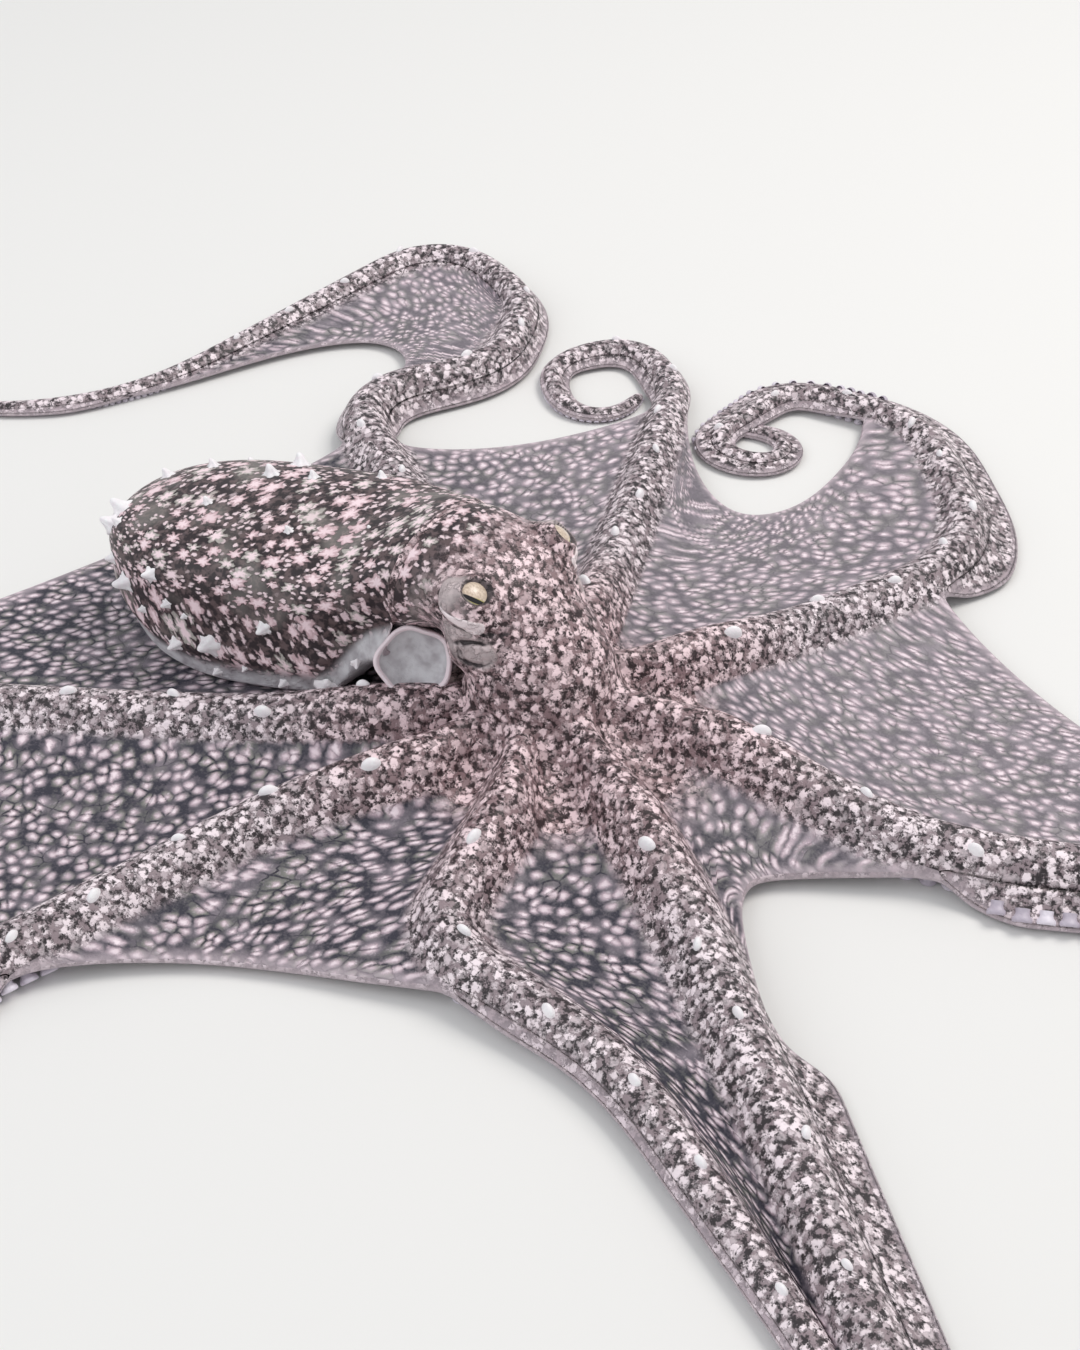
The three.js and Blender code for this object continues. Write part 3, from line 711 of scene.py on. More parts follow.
def axis_point(q):
    return np.stack([np.interp(q, AXIS_Q, AXIS[:, k]) for k in range(3)], -1)


# %% Sizes of head and mantle
FOOT_HALF_WIDTH = 15.0
FOOT_ENDS = 12.0
HEAD_HALF_WIDTH = 12.0
HEAD_HALF_DEPTH = 11.0
NECK_HALF_WIDTH = 15.5
NECK_HALF_DEPTH = 12.0
MANTLE_HALF_WIDTH = 22.8
MANTLE_ABOVE = 11.2
MANTLE_BELOW = 20.7
COLLAR_WIDE = 1.04
MANTLE_FULLNESS = 0.81            # power that fills out the corners of a section
FLANK_FULLNESS = 0.5              # the same down to the keel
BELLY_FULLNESS = 0.2              # and for the belly below it, which sags behind the collar
BELLY_SAGS = (38.0, 50.0)
BELLY_LIFTS = (90.0, 107.0)
FLANK_SPAN = 0.4                  # in sines of the angle below the middle: the flank's fullness
BELLY_FROM, BELLY_OVER = 0.33, 0.3   # grows over the first, the belly's from and over the others
FILLS_OVER = 3.0                  # stations over which a round neck becomes a full mantle
COLLAR_ABOVE = 0.45
COLLAR_BELOW = 0.8
TIP_BLUNTNESS = 2.4
KEEL_ANGLE = 0.34                 # a low ridge runs along each side, this far below the middle
KEEL_ANGLE_REACH = 0.11
KEEL_STANDS = 1.3
KEEL_GROWS = (40.0, 52.0)
EYE_RADIUS = 4.6
EYE_STATION = 19.0
EYE_OUT = 11.5
EYE_UP = 6.5
EYE_SWELL = 3.6
EYE_SWELL_ANGLE = 0.55
EYE_SWELL_LENGTH = 7.0
EYE_ANGLE = math.atan2(EYE_UP, EYE_OUT)
CHEEK_STATION = 13.0
CHEEK_LENGTH = 5.5
CHEEK_SWELL = 3.4                 # a soft cheek stands out under each eye
CHEEK_BELOW = 0.3                 # angle below the middle of the side
CHEEK_REACH = 0.6


def turn_from(angle, target):
    """The signed angle from target to angle, within half a turn."""
    return (angle - target + np.pi) % (2 * np.pi) - np.pi


def on_both_sides(angle, place, reach):
    """A hump at this angle above the left side, and its mirror image on the right."""
    return sum(hump(turn_from(angle, target), 0, reach) for target in (place, np.pi - place))


def head_size(q, angle):
    rise = smoothstep(q / FOOT_ENDS)
    thin = ramp(q, EYE_STATION, NECK)
    wide = mix(mix(FOOT_HALF_WIDTH, HEAD_HALF_WIDTH, rise), NECK_HALF_WIDTH, thin)
    deep = mix(mix(FOOT_HALF_WIDTH, HEAD_HALF_DEPTH, rise), NECK_HALF_DEPTH, thin)
    swell = (EYE_SWELL * hump(q, EYE_STATION, EYE_SWELL_LENGTH)
             * on_both_sides(angle, EYE_ANGLE, EYE_SWELL_ANGLE) / HEAD_HALF_WIDTH)
    swell += (CHEEK_SWELL * hump(q, CHEEK_STATION, CHEEK_LENGTH)
              * on_both_sides(angle, -CHEEK_BELOW, CHEEK_REACH) / HEAD_HALF_WIDTH)
    return wide * (1 + swell), deep * (1 + swell)


def mantle_size(q, angle):
    back = np.clip((q - MANTLE_WIDEST) / (MANTLE_TIP - MANTLE_WIDEST), 0, 1)
    front = np.clip((MANTLE_WIDEST - q) / (MANTLE_WIDEST - COLLAR), 0, 1) ** 2
    blunt = np.sqrt(np.clip(1 - back ** TIP_BLUNTNESS, 0, 1))
    high = np.where(np.sin(angle) < 0, MANTLE_BELOW * mix(1, COLLAR_BELOW, front),
                    MANTLE_ABOVE * mix(1, COLLAR_ABOVE, front))
    wide = MANTLE_HALF_WIDTH * mix(1, COLLAR_WIDE, front)
    keel = KEEL_STANDS * ramp(q, *KEEL_GROWS) * on_both_sides(angle, -KEEL_ANGLE, KEEL_ANGLE_REACH)
    keel = 1 + keel / MANTLE_HALF_WIDTH
    return wide * blunt * keel, high * blunt * keel


def body_points(q, angle, wide, high):
    q, angle = np.broadcast_arrays(q, angle)
    left, dorsal = ring_frame(q)
    aside, up = np.cos(angle), np.sin(angle)
    sags = ramp(q, *BELLY_SAGS)
    fullness = mix(MANTLE_FULLNESS, FLANK_FULLNESS, smoothstep(-up / FLANK_SPAN) * sags)
    fullness = mix(fullness, BELLY_FULLNESS,
                   smoothstep((-up - BELLY_FROM) / BELLY_OVER) * sags * (1 - ramp(q, *BELLY_LIFTS)))
    power = mix(1, fullness, smoothstep((q - NECK) / FILLS_OVER))
    aside = np.sign(aside) * np.abs(aside) ** power
    up = np.sign(up) * np.abs(up) ** power
    return axis_point(q) + left * (wide * aside)[..., None] + dorsal * (high * up)[..., None]


# %% [markdown]
# ## The crown
# The rim of the crown is the loop that all arms and webs start from. Rings lead from it up
# to the foot of the head, with the same number of corners, so head and mantle continue as
# one grid. The columns are slid along the rings until they are closest together at the eyes,
# where the lids need fine detail.

# %% The rim loops, above and below
CROWN_ROWS = 22
EYE_CROWDING = 2.2
EYE_CROWDING_ANGLE = 0.42
FINE_ANGLES = 4001


def rim_loop(surface, core, web_row):
    """The corners round the crown: over each arm, then along the first row of its left web."""
    points = []
    for a in ARMS:
        points += [surface(a, np.array(CROWN_EDGE), core), web_row(a.left_lines[0])[1:-1]]
    return np.concatenate(points)


rim_top = rim_loop(arm_top, CORE_TOP, lambda line: line.top)
rim_under = rim_loop(arm_under, CORE_UNDER, lambda line: line.under)

foot = np.array(BODY_FOOT)
left_0, dorsal_0 = ring_frame(np.array(0.0))
rim_angle = np.unwrap(np.arctan2((rim_top - foot) @ dorsal_0, (rim_top - foot) @ left_0))
print("corners round the crown:", len(rim_top), "above,", len(rim_under), "below")


def crowded_angles(start, count):
    """One turn from this angle, with the columns crowded near the eyes."""
    fine = np.linspace(start, start - 2 * np.pi, FINE_ANGLES)
    weight = 1 + EYE_CROWDING * on_both_sides(fine, EYE_ANGLE, EYE_CROWDING_ANGLE)
    share = np.append(0, np.cumsum((weight[1:] + weight[:-1]) / 2))
    return np.interp(np.arange(count) / count, share / share[-1], fine)


head_angle = crowded_angles(rim_angle[0], len(rim_angle))

# %% Rings of the crown
slope = np.linspace(1, 0, CROWN_ROWS + 1)[:, None]
foot_ring = body_points(np.zeros_like(rim_angle), rim_angle,
                        FOOT_HALF_WIDTH, FOOT_HALF_WIDTH)
out = 1 - np.cos(slope * np.pi / 2)
down = np.sin(slope * np.pi / 2)
crown = mix(foot_ring[None], rim_top[None], out[..., None])
crown[..., 2] = mix(foot_ring[None, :, 2], rim_top[None, :, 2], down)
print("rings of the crown:", len(crown))

# %% [markdown]
# ## The course of the body's skin
# Every ring of the body is a station along the axis and a size. In the fold under the collar
# the station runs backwards for a while. How deep the fold is depends on the angle: nothing
# on the back, where neck and mantle are grown together, and full depth at the sides.

# %% Stations and sizes, ring by ring
HEAD_ROW = 0.33
MANTLE_ROW = 0.55
POCKET_DEPTH = 6.5
POCKET_ROWS = 12
COLLAR_EDGE_ROWS = 6
COLLAR_WALL = 1.5
POCKET_OPENS = (1.95, 2.3)       # angles from the back, in radians
NECK_THINS = 1.2                  # the neck is thinner by this much inside the fold
COLLAR_ROUNDS = 0.9
NAPE_LENGTH = 21.0               # on the back the neck's size runs into the mantle's over this
COLUMNS_SETTLE = 9.0
WALL_SPREADS = 3                 # the fold's outer wall follows the mantle from this part of its depth


def pocket_open(angle):
    return ramp(np.abs(turn_from(angle, np.pi / 2)), *POCKET_OPENS)


def angle_at(q):
    """The angles of the columns on a ring: as at the rim, then crowded at the eyes."""
    return mix(rim_angle, head_angle, smoothstep(q / COLUMNS_SETTLE))


def body_rings():
    """Angles, stations, half widths and half heights: a row for each ring."""
    rings = []
    for q in spaced(0, NECK, HEAD_ROW)[1:]:
        angle = angle_at(q)
        rings.append((angle, np.full_like(angle, q), *head_size(q, angle)))
    angle = head_angle
    open_ = pocket_open(angle)
    grown = 1 - open_
    depth = POCKET_DEPTH * open_
    neck_wide, neck_high = head_size(np.full_like(angle, NECK), angle)
    inward = np.linspace(0, 1, POCKET_ROWS + 1)[1:]
    for t in inward:
        thin = NECK_THINS * open_ * t
        rings.append((angle, NECK + t * (COLLAR - NECK + depth), neck_wide - thin, neck_high - thin))
    for t in inward:
        q = COLLAR + depth * (1 - t)
        wide, high = mantle_size(q, angle)
        across = smoothstep(t * WALL_SPREADS)
        inner_wide = mix(neck_wide - NECK_THINS * open_, wide - COLLAR_WALL, across)
        inner_high = mix(neck_high - NECK_THINS * open_, high - COLLAR_WALL, across)
        rings.append((angle, q, mix(inner_wide, neck_wide, grown), mix(inner_high, neck_high, grown)))
    for turn in np.linspace(0, np.pi, COLLAR_EDGE_ROWS + 1)[1:-1]:
        wide, high = mantle_size(np.full_like(angle, COLLAR), angle)
        q = COLLAR - COLLAR_ROUNDS * np.sin(turn) * open_
        wall = COLLAR_WALL * (1 + np.cos(turn)) / 2
        rings.append((angle, q, mix(wide - wall, neck_wide, grown), mix(high - wall, neck_high, grown)))
    share = np.linspace(0, 1, int((MANTLE_TIP - COLLAR) / MANTLE_ROW) + 1)
    for q in mix(COLLAR, MANTLE_TIP, np.sin(share * np.pi / 2)):
        wide, high = mantle_size(np.full_like(angle, q), angle)
        settle = grown * (1 - ramp(q, COLLAR, COLLAR + NAPE_LENGTH))
        rings.append((angle, np.full_like(angle, q), mix(wide, neck_wide, settle),
                      mix(high, neck_high, settle)))
    return [np.stack(part) for part in zip(*rings)]


body_angle, body_q, body_wide, body_high = body_rings()
body = body_points(body_q, body_angle, body_wide, body_high)
print("rings of head and mantle:", len(body), "of", body.shape[1], "corners")

# %% Add crown, head and mantle to the hide
def closed(grid):
    """Repeats the first column as the last, so that a ring closes."""
    return np.concatenate([grid, grid[:, :1]], axis=1)


CHART_TUBE = (0.005, 0.745, 0.64, 0.25)      # corner and size of the tube's patch on the chart
HEAD_ROWS = len(spaced(0, NECK, HEAD_ROW)) - 1
FIRST_MANTLE = HEAD_ROWS + 2 * POCKET_ROWS + COLLAR_EDGE_ROWS - 1
COLLAR_RIM_ROWS = 3.0
BELLY_STARTS = (0.37, 0.50)                  # how far below the sides the belly turns plain
BELLY_PEARL = 1.0
STARS_FADE_IN = (20.0, 29.0)                 # stations on the neck over which the mantle's stars begin


def lay_tube():
    tube = closed(np.concatenate([crown[-1:], body]))
    rings, columns = tube.shape[:2]
    angles = closed(np.concatenate([rim_angle[None], body_angle]))
    angles[:, -1] -= 2 * np.pi
    q = closed(np.concatenate([np.zeros((1, columns - 1)), body_q]))
    run = np.cumsum(np.linalg.norm(np.diff(tube, axis=0, prepend=tube[:1]), axis=2), axis=0)
    x, y, width, height = CHART_TUBE
    chart = np.stack(np.broadcast_arrays(x + width * (run.mean(1) / run[-1].mean())[:, None],
                                         y + height * np.linspace(0, 1, columns)[None]), -1)
    row = np.arange(rings)[:, None]
    mantle = (row > FIRST_MANTLE) * np.ones((1, columns))
    in_fold = (row > HEAD_ROWS) * (1 - mantle) * pocket_open(angles)
    belly = mantle * ramp(-np.sin(angles), *BELLY_STARTS)
    rim = hump(row, HEAD_ROWS + 2 * POCKET_ROWS + COLLAR_RIM_ROWS, COLLAR_RIM_ROWS) * pocket_open(angles)
    starred = np.maximum(mantle, ramp(q, *STARS_FADE_IN) * (row <= HEAD_ROWS))
    starred = np.maximum(starred, in_fold)
    gap = mix(run[FIRST_MANTLE] - run[HEAD_ROWS], COLLAR - NECK, pocket_open(angles[HEAD_ROWS]))
    in_gap = np.clip((FIRST_MANTLE - row) / (FIRST_MANTLE - HEAD_ROWS), 0, 1)
    lengthwise = (np.minimum(run - run[HEAD_ROWS], 0) + np.maximum(run - run[FIRST_MANTLE], 0)
                  - gap * in_gap)
    breadth = mix(NECK_HALF_WIDTH, MANTLE_HALF_WIDTH, ramp(q, NECK, COLLAR + NAPE_LENGTH))
    weave = np.stack([lengthwise, turn_from(angles, np.pi / 2) * breadth], -1)
    numbers = hide.add(tube, weave, chart, head=1 - mantle, mantle=starred, edge=rim,
                       pearl=BELLY_PEARL * belly, smooth=np.maximum(in_fold, belly) * (1 - rim))
    hide.grid(numbers)


crown_rings = closed(crown)
hide.grid(hide.add(crown_rings, crown_rings[..., :2], crown=1.0))
lay_tube()

# %% [markdown]
# ## The underside of the crown
# Below, the rings run inward to the mouth: a small round pucker of lips in the middle of
# the arms. It can't be seen while the animal rests, but the model can be picked up.

# %% Underside of the crown
MOUTH_RADIUS = 4.5
LIP_HEIGHT = 0.7
UNDER_CROWN_ROWS = 18
LIP_PUCKERS = 12
SOLE_SETTLES = 0.6             # inside this share of the way out the underside is level

share = np.linspace(1, 0, UNDER_CROWN_ROWS + 1)[:, None]
under_crown = rim_under[None] * share[..., None]
radius = np.hypot(under_crown[..., 0], under_crown[..., 1])
around = np.arctan2(under_crown[..., 1], under_crown[..., 0])
under_crown[..., 2] = mix(SOLE_LIFT, rim_under[None, :, 2], smoothstep((share - SOLE_SETTLES) / 0.4))
under_crown[..., 2] -= (LIP_HEIGHT * hump(radius, MOUTH_RADIUS * 0.7, MOUTH_RADIUS * 0.45)
                        * (0.8 + 0.2 * np.cos(LIP_PUCKERS * around)))
under_rings = closed(under_crown)
hide.grid(hide.add(under_rings, under_rings[..., :2], under=1.0, crown=1.0), flip=True)

# %% [markdown]
# ## The funnel
# A soft pale tube pushes out from under the collar beside the neck. Its wide mouth faces
# outward and a little up, and its root inside the neck is never seen.

# %% The funnel
FUNNEL_ROOT = (-32.6, 4.6, 14.0)
FUNNEL_MOUTH = (-28.0, -6.2, 21.9)
FUNNEL_RADIUS = 6.6
FUNNEL_MOUTH_RADIUS = 7.5
FUNNEL_LIP = 1.2
LIP_BUMPS = 0.16
FUNNEL_BORE_DEPTH = 3.2
FUNNEL_COLUMNS = 56
FUNNEL_ROWS, LIP_ROWS, BORE_ROWS = 36, 8, 10
ROOT_ROUNDS = 2.5              # the root is closed by a dome over one part in this of the length
LIP_SWELLS = 3.0               # the lip's bumps, and the mark of its rim, reach this far along
RIM_SPREADS = 2.6
CHART_FUNNEL = (0.66, 0.68, 0.1, 0.05)


def across(direction):
    """Two directions square to this one, the first of them level, and then this one, all of length 1."""
    direction = unit(direction)
    level = unit(np.cross(UP, direction))
    return level, np.cross(direction, level), direction


def lay_funnel():
    way = np.array(FUNNEL_MOUTH) - np.array(FUNNEL_ROOT)
    level, up, ahead = across(way)
    length = np.linalg.norm(way)
    t = np.linspace(0, 1, FUNNEL_ROWS)
    dome = np.sqrt(1 - (1 - np.clip(t * ROOT_ROUNDS, 0, 1)) ** 2)
    outside = mix(FUNNEL_RADIUS, FUNNEL_MOUTH_RADIUS, t ** 2) * dome
    turn = np.linspace(0, np.pi, LIP_ROWS)[1:]
    lip = FUNNEL_MOUTH_RADIUS - FUNNEL_LIP * (1 - np.cos(turn)) / 2
    inner = FUNNEL_MOUTH_RADIUS - FUNNEL_LIP
    bore = np.linspace(0, 1, BORE_ROWS)[1:]
    radius = np.concatenate([outside, lip, inner * (1 - bore ** 3)])
    along = np.concatenate([t * length, length + 0.5 * FUNNEL_LIP * np.sin(turn),
                            length - FUNNEL_BORE_DEPTH * bore])
    around = np.linspace(0, 2 * np.pi, FUNNEL_COLUMNS + 1)
    around[-1] = 0
    rings = radius[:, None, None] * (np.cos(around)[:, None] * level + np.sin(around)[:, None] * up)
    bumps = LIP_BUMPS * np.cos(8 * around + 2 * np.sin(3 * around))
    tube = (np.array(FUNNEL_ROOT) + along[:, None, None] * ahead
            + (1 + hump(along, length, LIP_SWELLS)[:, None] * bumps)[..., None] * rings)
    weave = np.stack(np.broadcast_arrays(along[:, None], around * FUNNEL_RADIUS), -1)
    x, y, width, height = CHART_FUNNEL
    chart = np.stack(np.broadcast_arrays(x + width * np.linspace(0, 1, len(along))[:, None],
                                         y + height * np.linspace(0, 1, len(around))), -1)
    before_bore = np.arange(len(along)) < len(outside) + len(lip)
    rim = (hump(along, length, RIM_SPREADS) * before_bore)[:, None] * np.ones(len(around))
    hide.grid(hide.add(tube, weave, chart, head=1.0, pearl=1.0, smooth=1.0, edge=rim))


lay_funnel()
print("corners in the whole hide:", hide.count)

# %% Weld the patches
def half_edges(faces):
    """The corners at both ends of each face's three sides."""
    return np.concatenate([faces[:, [0, 1]], faces[:, [1, 2]], faces[:, [2, 0]]])


points, faces, sources, marks, weave, chart = hide.welded()
edges = np.sort(half_edges(faces), axis=1)
_, uses = np.unique(edges[:, 0].astype(np.int64) * len(points) + edges[:, 1], return_counts=True)
volume = np.einsum("ij,ij->i", points[faces[:, 0]],
                   np.cross(points[faces[:, 1]], points[faces[:, 2]])).sum() / 6
print("corners:", len(points), " faces:", len(faces), " edges not shared by two faces:",
      int((uses != 2).sum()), " volume in cubic mm:", round(float(volume)))

# %% [markdown]
# ## Softening
# Flesh has no hard creases where a web leaves an arm. A few rounds of averaging each corner
# with its neighbours let the parts flow into each other. Small features shrink under it, so
# it is done before any of them is raised.

# %% Soften the skin
SOFTEN_ROUNDS = 14
SOFTEN_PART = 0.5
MANTLE_HELD = 0.75             # the firm mantle moves less by this part
SKIN_CLEARANCE = 0.3           # no corner comes closer to the floor


def averaged(values, start, end, degree):
    return np.stack([np.bincount(start, values[end, k], len(values)) / degree
                     for k in range(values.shape[1])], -1)


start, end = half_edges(faces).T       # the mesh is closed, so this holds both directions
degree = np.bincount(start, minlength=len(points))
soft = points.copy()
vertex_marks = np.zeros((len(points), len(MARKS)))
vertex_marks[faces.ravel()] = marks[sources.ravel()]
held = 1 - MANTLE_HELD * vertex_marks[:, MARKS.index("mantle")][:, None]
for _ in range(SOFTEN_ROUNDS):
    soft += SOFTEN_PART * held * (averaged(soft, start, end, degree) - soft)
soft[:, 2] = np.maximum(soft[:, 2], SKIN_CLEARANCE)
print("softened by up to", round(float(np.abs(soft - points).max()), 2), "mm")


# %% Make the skin's mesh
def make_skin(points, faces):
    mesh = bpy.data.meshes.new("octopus_skin")
    mesh.vertices.add(len(points))
    mesh.vertices.foreach_set("co", (points * MM).astype(np.float32).ravel())
    mesh.loops.add(faces.size)
    mesh.loops.foreach_set("vertex_index", faces.astype(np.int32).ravel())
    mesh.polygons.add(len(faces))
    mesh.polygons.foreach_set("loop_start", np.arange(0, faces.size, 3, dtype=np.int32))
    mesh.polygons.foreach_set("use_smooth", np.ones(len(faces), dtype=bool))
    mesh.update(calc_edges=True)
    for name, values in (("OFBake", chart), ("weave", weave)):
        layer = mesh.uv_layers.new(name=name, do_init=False)
        layer.uv.foreach_set("vector", values[sources.ravel()].astype(np.float32).ravel())
    for k, name in enumerate(MARKS):
        layer = mesh.attributes.new(name, "FLOAT", "CORNER")
        layer.data.foreach_set("value", marks[sources.ravel(), k].astype(np.float32))
    mesh.uv_layers.active = mesh.uv_layers["OFBake"]
    return add_object("octopus_skin", mesh)


skin = make_skin(soft, faces)
FLESH = [name for name in frame["nodes"] if not name.startswith("eye_")]
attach(skin, "root")
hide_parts(*FLESH)
print("skin faces:", len(skin.data.polygons), " replaces", len(FLESH), "nodes")

# %% [markdown]
# ## Round the eyes
# Each eye sits in a mound of skin that closes over it and leaves an oval opening. The mesh
# is refined there first. Then its corners are moved out from the eye's centre until they lie
# on a ball a little larger than the eye, with a rim round the opening. Under it the cheek
# gets its dark folds, soft pads between them, and a chalky flap along the lower lid. A dark
# line painted round the opening stands for the shadow under the lids.

# %% Where the eyes are and where they look
LID_THICK = 0.5
LID_FILLET = 1.1               # how widely the mound runs out into the cheek
CHEEK_FACES = (0.50, 0.68, 0.53)             # ahead, outward and up
SLIT_TURN = math.radians(9.0)                # the slit is turned from the lids' line by this
EYES = [SimpleNamespace(name="eye_right", side=-1, gaze=(0.51, 0.40, 0.75), tilt=13.0),
        SimpleNamespace(name="eye_left", side=1, gaze=(0.35, 0.85, 0.40), tilt=6.0)]


def square_to(direction, axis):
    """What is left of a direction without its part along this axis, at unit length."""
    return unit(direction - axis * (direction @ axis))


def place_eye(eye):
    """The eye's centre and gaze, its slit and the way across it, and the same for the cheek."""
    q = np.array(EYE_STATION)
    left, dorsal = ring_frame(q)
    ahead = level_at(q)

    def facing(forward, outward, upward):
        return unit(forward * ahead + outward * eye.side * left + upward * UP)

    def climbing(angle):
        return ahead * math.cos(angle) + UP * math.sin(angle)

    tilt = math.radians(eye.tilt)
    eye.centre = axis_point(q) + eye.side * EYE_OUT * left + EYE_UP * dorsal
    eye.gaze = facing(*eye.gaze)
    eye.slit = square_to(climbing(tilt + SLIT_TURN), eye.gaze)
    eye.up = np.cross(eye.gaze, eye.slit) * -eye.side
    eye.cheek = facing(*CHEEK_FACES)
    eye.cheek_along = square_to(square_to(climbing(tilt), eye.gaze), eye.cheek)
    eye.cheek_up = np.cross(eye.cheek, eye.cheek_along) * -eye.side
    print(eye.name, "centre", eye.centre.round(2), "gaze", eye.gaze.round(2))


for each in EYES:
    place_eye(each)

# %% Refine the mesh near the eyes
REFINE_REACH = 9.5


def refine_near(obj, centres, reach):
    mesh = bmesh.new()
    mesh.from_mesh(obj.data)
    near = [edge for edge in mesh.edges if any(
        (edge.verts[0].co - centre).length < reach * MM for centre in centres)]
    bmesh.ops.subdivide_edges(mesh, edges=near, cuts=1, use_grid_fill=True)
    bmesh.ops.triangulate(mesh, faces=[face for face in mesh.faces if len(face.verts) > 3])
    mesh.to_mesh(obj.data)
    mesh.free()


refine_near(skin, [Vector(eye.centre * MM) for eye in EYES], REFINE_REACH)
print("skin faces after refining:", len(skin.data.polygons))


# %% Raise the lids and fold the cheeks
def read_points(mesh):
    flat = np.empty(3 * len(mesh.vertices), np.float32)
    mesh.vertices.foreach_get("co", flat)
    return flat.reshape(-1, 3).astype(float) / MM


def write_points(mesh, points):
    mesh.vertices.foreach_set("co", (points * MM).astype(np.float32).ravel())
    mesh.update()


def waver(points, size, seed=0.0):
    """A smooth irregular value between about -1 and 1, which changes over this length."""
    x, y, z = (points / size + seed).T
    return (np.sin(x * 2.1 + 1.3 * np.sin(y * 1.7 + seed)) + np.sin(y * 2.4 + 1.1 * np.sin(z * 1.9))
            + np.sin(z * 2.2 + 1.4 * np.sin(x * 1.6 + 2 * seed))) / 3


OPENING = (2.65, 2.5)          # half length and half height of the opening between the lids
OPENS_AT = (0.85, 1.45)        # its middle, along the slit and above it
LIDS_REACH = 4.0               # in radii of the eye: only corners this near are looked at
MOUND_REACH = 2.4              # and the mound ends this far out
LID_RIM = 0.55                 # a rim stands round the opening, at these sizes of its oval
RIM_AT, RIM_WIDTH = 1.16, 0.16
LID_GROOVE = 0.22              # and a groove runs round the rim
GROOVE_AT, GROOVE_WIDTH = 1.62, 0.14
LID_EDGE_SOFT = 0.16
HIDDEN_BY = 0.6                # inside the opening the skin dives below the eye's surface by this
# Lines on the cheek, square to the way it faces: millimetres ahead of the eye and above it
FOLDS = (((-1.9, -2.3), (0.9, -3.1), (3.5, -3.4), (5.7, -3.1), (8.1, -2.8), (9.4, -1.2), (10.0, 0.8)),
         ((0.2, -8.4), (2.2, -7.3), (4.3, -5.8), (7.0, -4.8), (9.0, -3.2)),
         ((2.4, -8.2), (3.7, -9.6), (5.6, -9.9), (7.5, -9.4), (8.9, -7.5)))
FOLD_DEPTH = 0.8
FOLD_WIDTH = 0.55
FLAP = ((-2.0, -1.6), (0.0, -1.8), (2.2, -2.2), (3.7, -2.5))   # chalky, along the lower lid
FLAP_WIDTH = (0.15, 1.45)
FLAP_STANDS = 0.5
CHEEK_PADS = ((0.4, -5.2), (3.6, -7.6), (7.0, -7.2))
PAD_WIDTH = (2.0, 3.4)
EYE_PATCH = (-2.3, 0.4)        # the middle of a pale patch, ahead of the eye and above it
EYE_PATCH_WIDTH = (1.6, 2.8)
ORBIT_RING = (1.7, 2.2)        # pale skin round the lids, in sizes of the opening
RIPPLE = 0.35                  # lines and borders on the cheek stray by this
RIPPLE_LENGTH = 1.6


def far_from_line(x, y, line):
    """Distance to a line through these points, and how far along it the nearest place is, 0 to 1."""
    best, place = np.full(len(x), np.inf), np.zeros(len(x))
    for k, ((x0, y0), (x1, y1)) in enumerate(zip(line, line[1:])):
        length = math.hypot(x1 - x0, y1 - y0)
        share = np.clip(((x - x0) * (x1 - x0) + (y - y0) * (y1 - y0)) / length ** 2, 0, 1)
        far = np.hypot(x - mix(x0, x1, share), y - mix(y0, y1, share))
        place = np.where(far < best, (k + share) / (len(line) - 1), place)
        best = np.minimum(best, far)
    return best, place


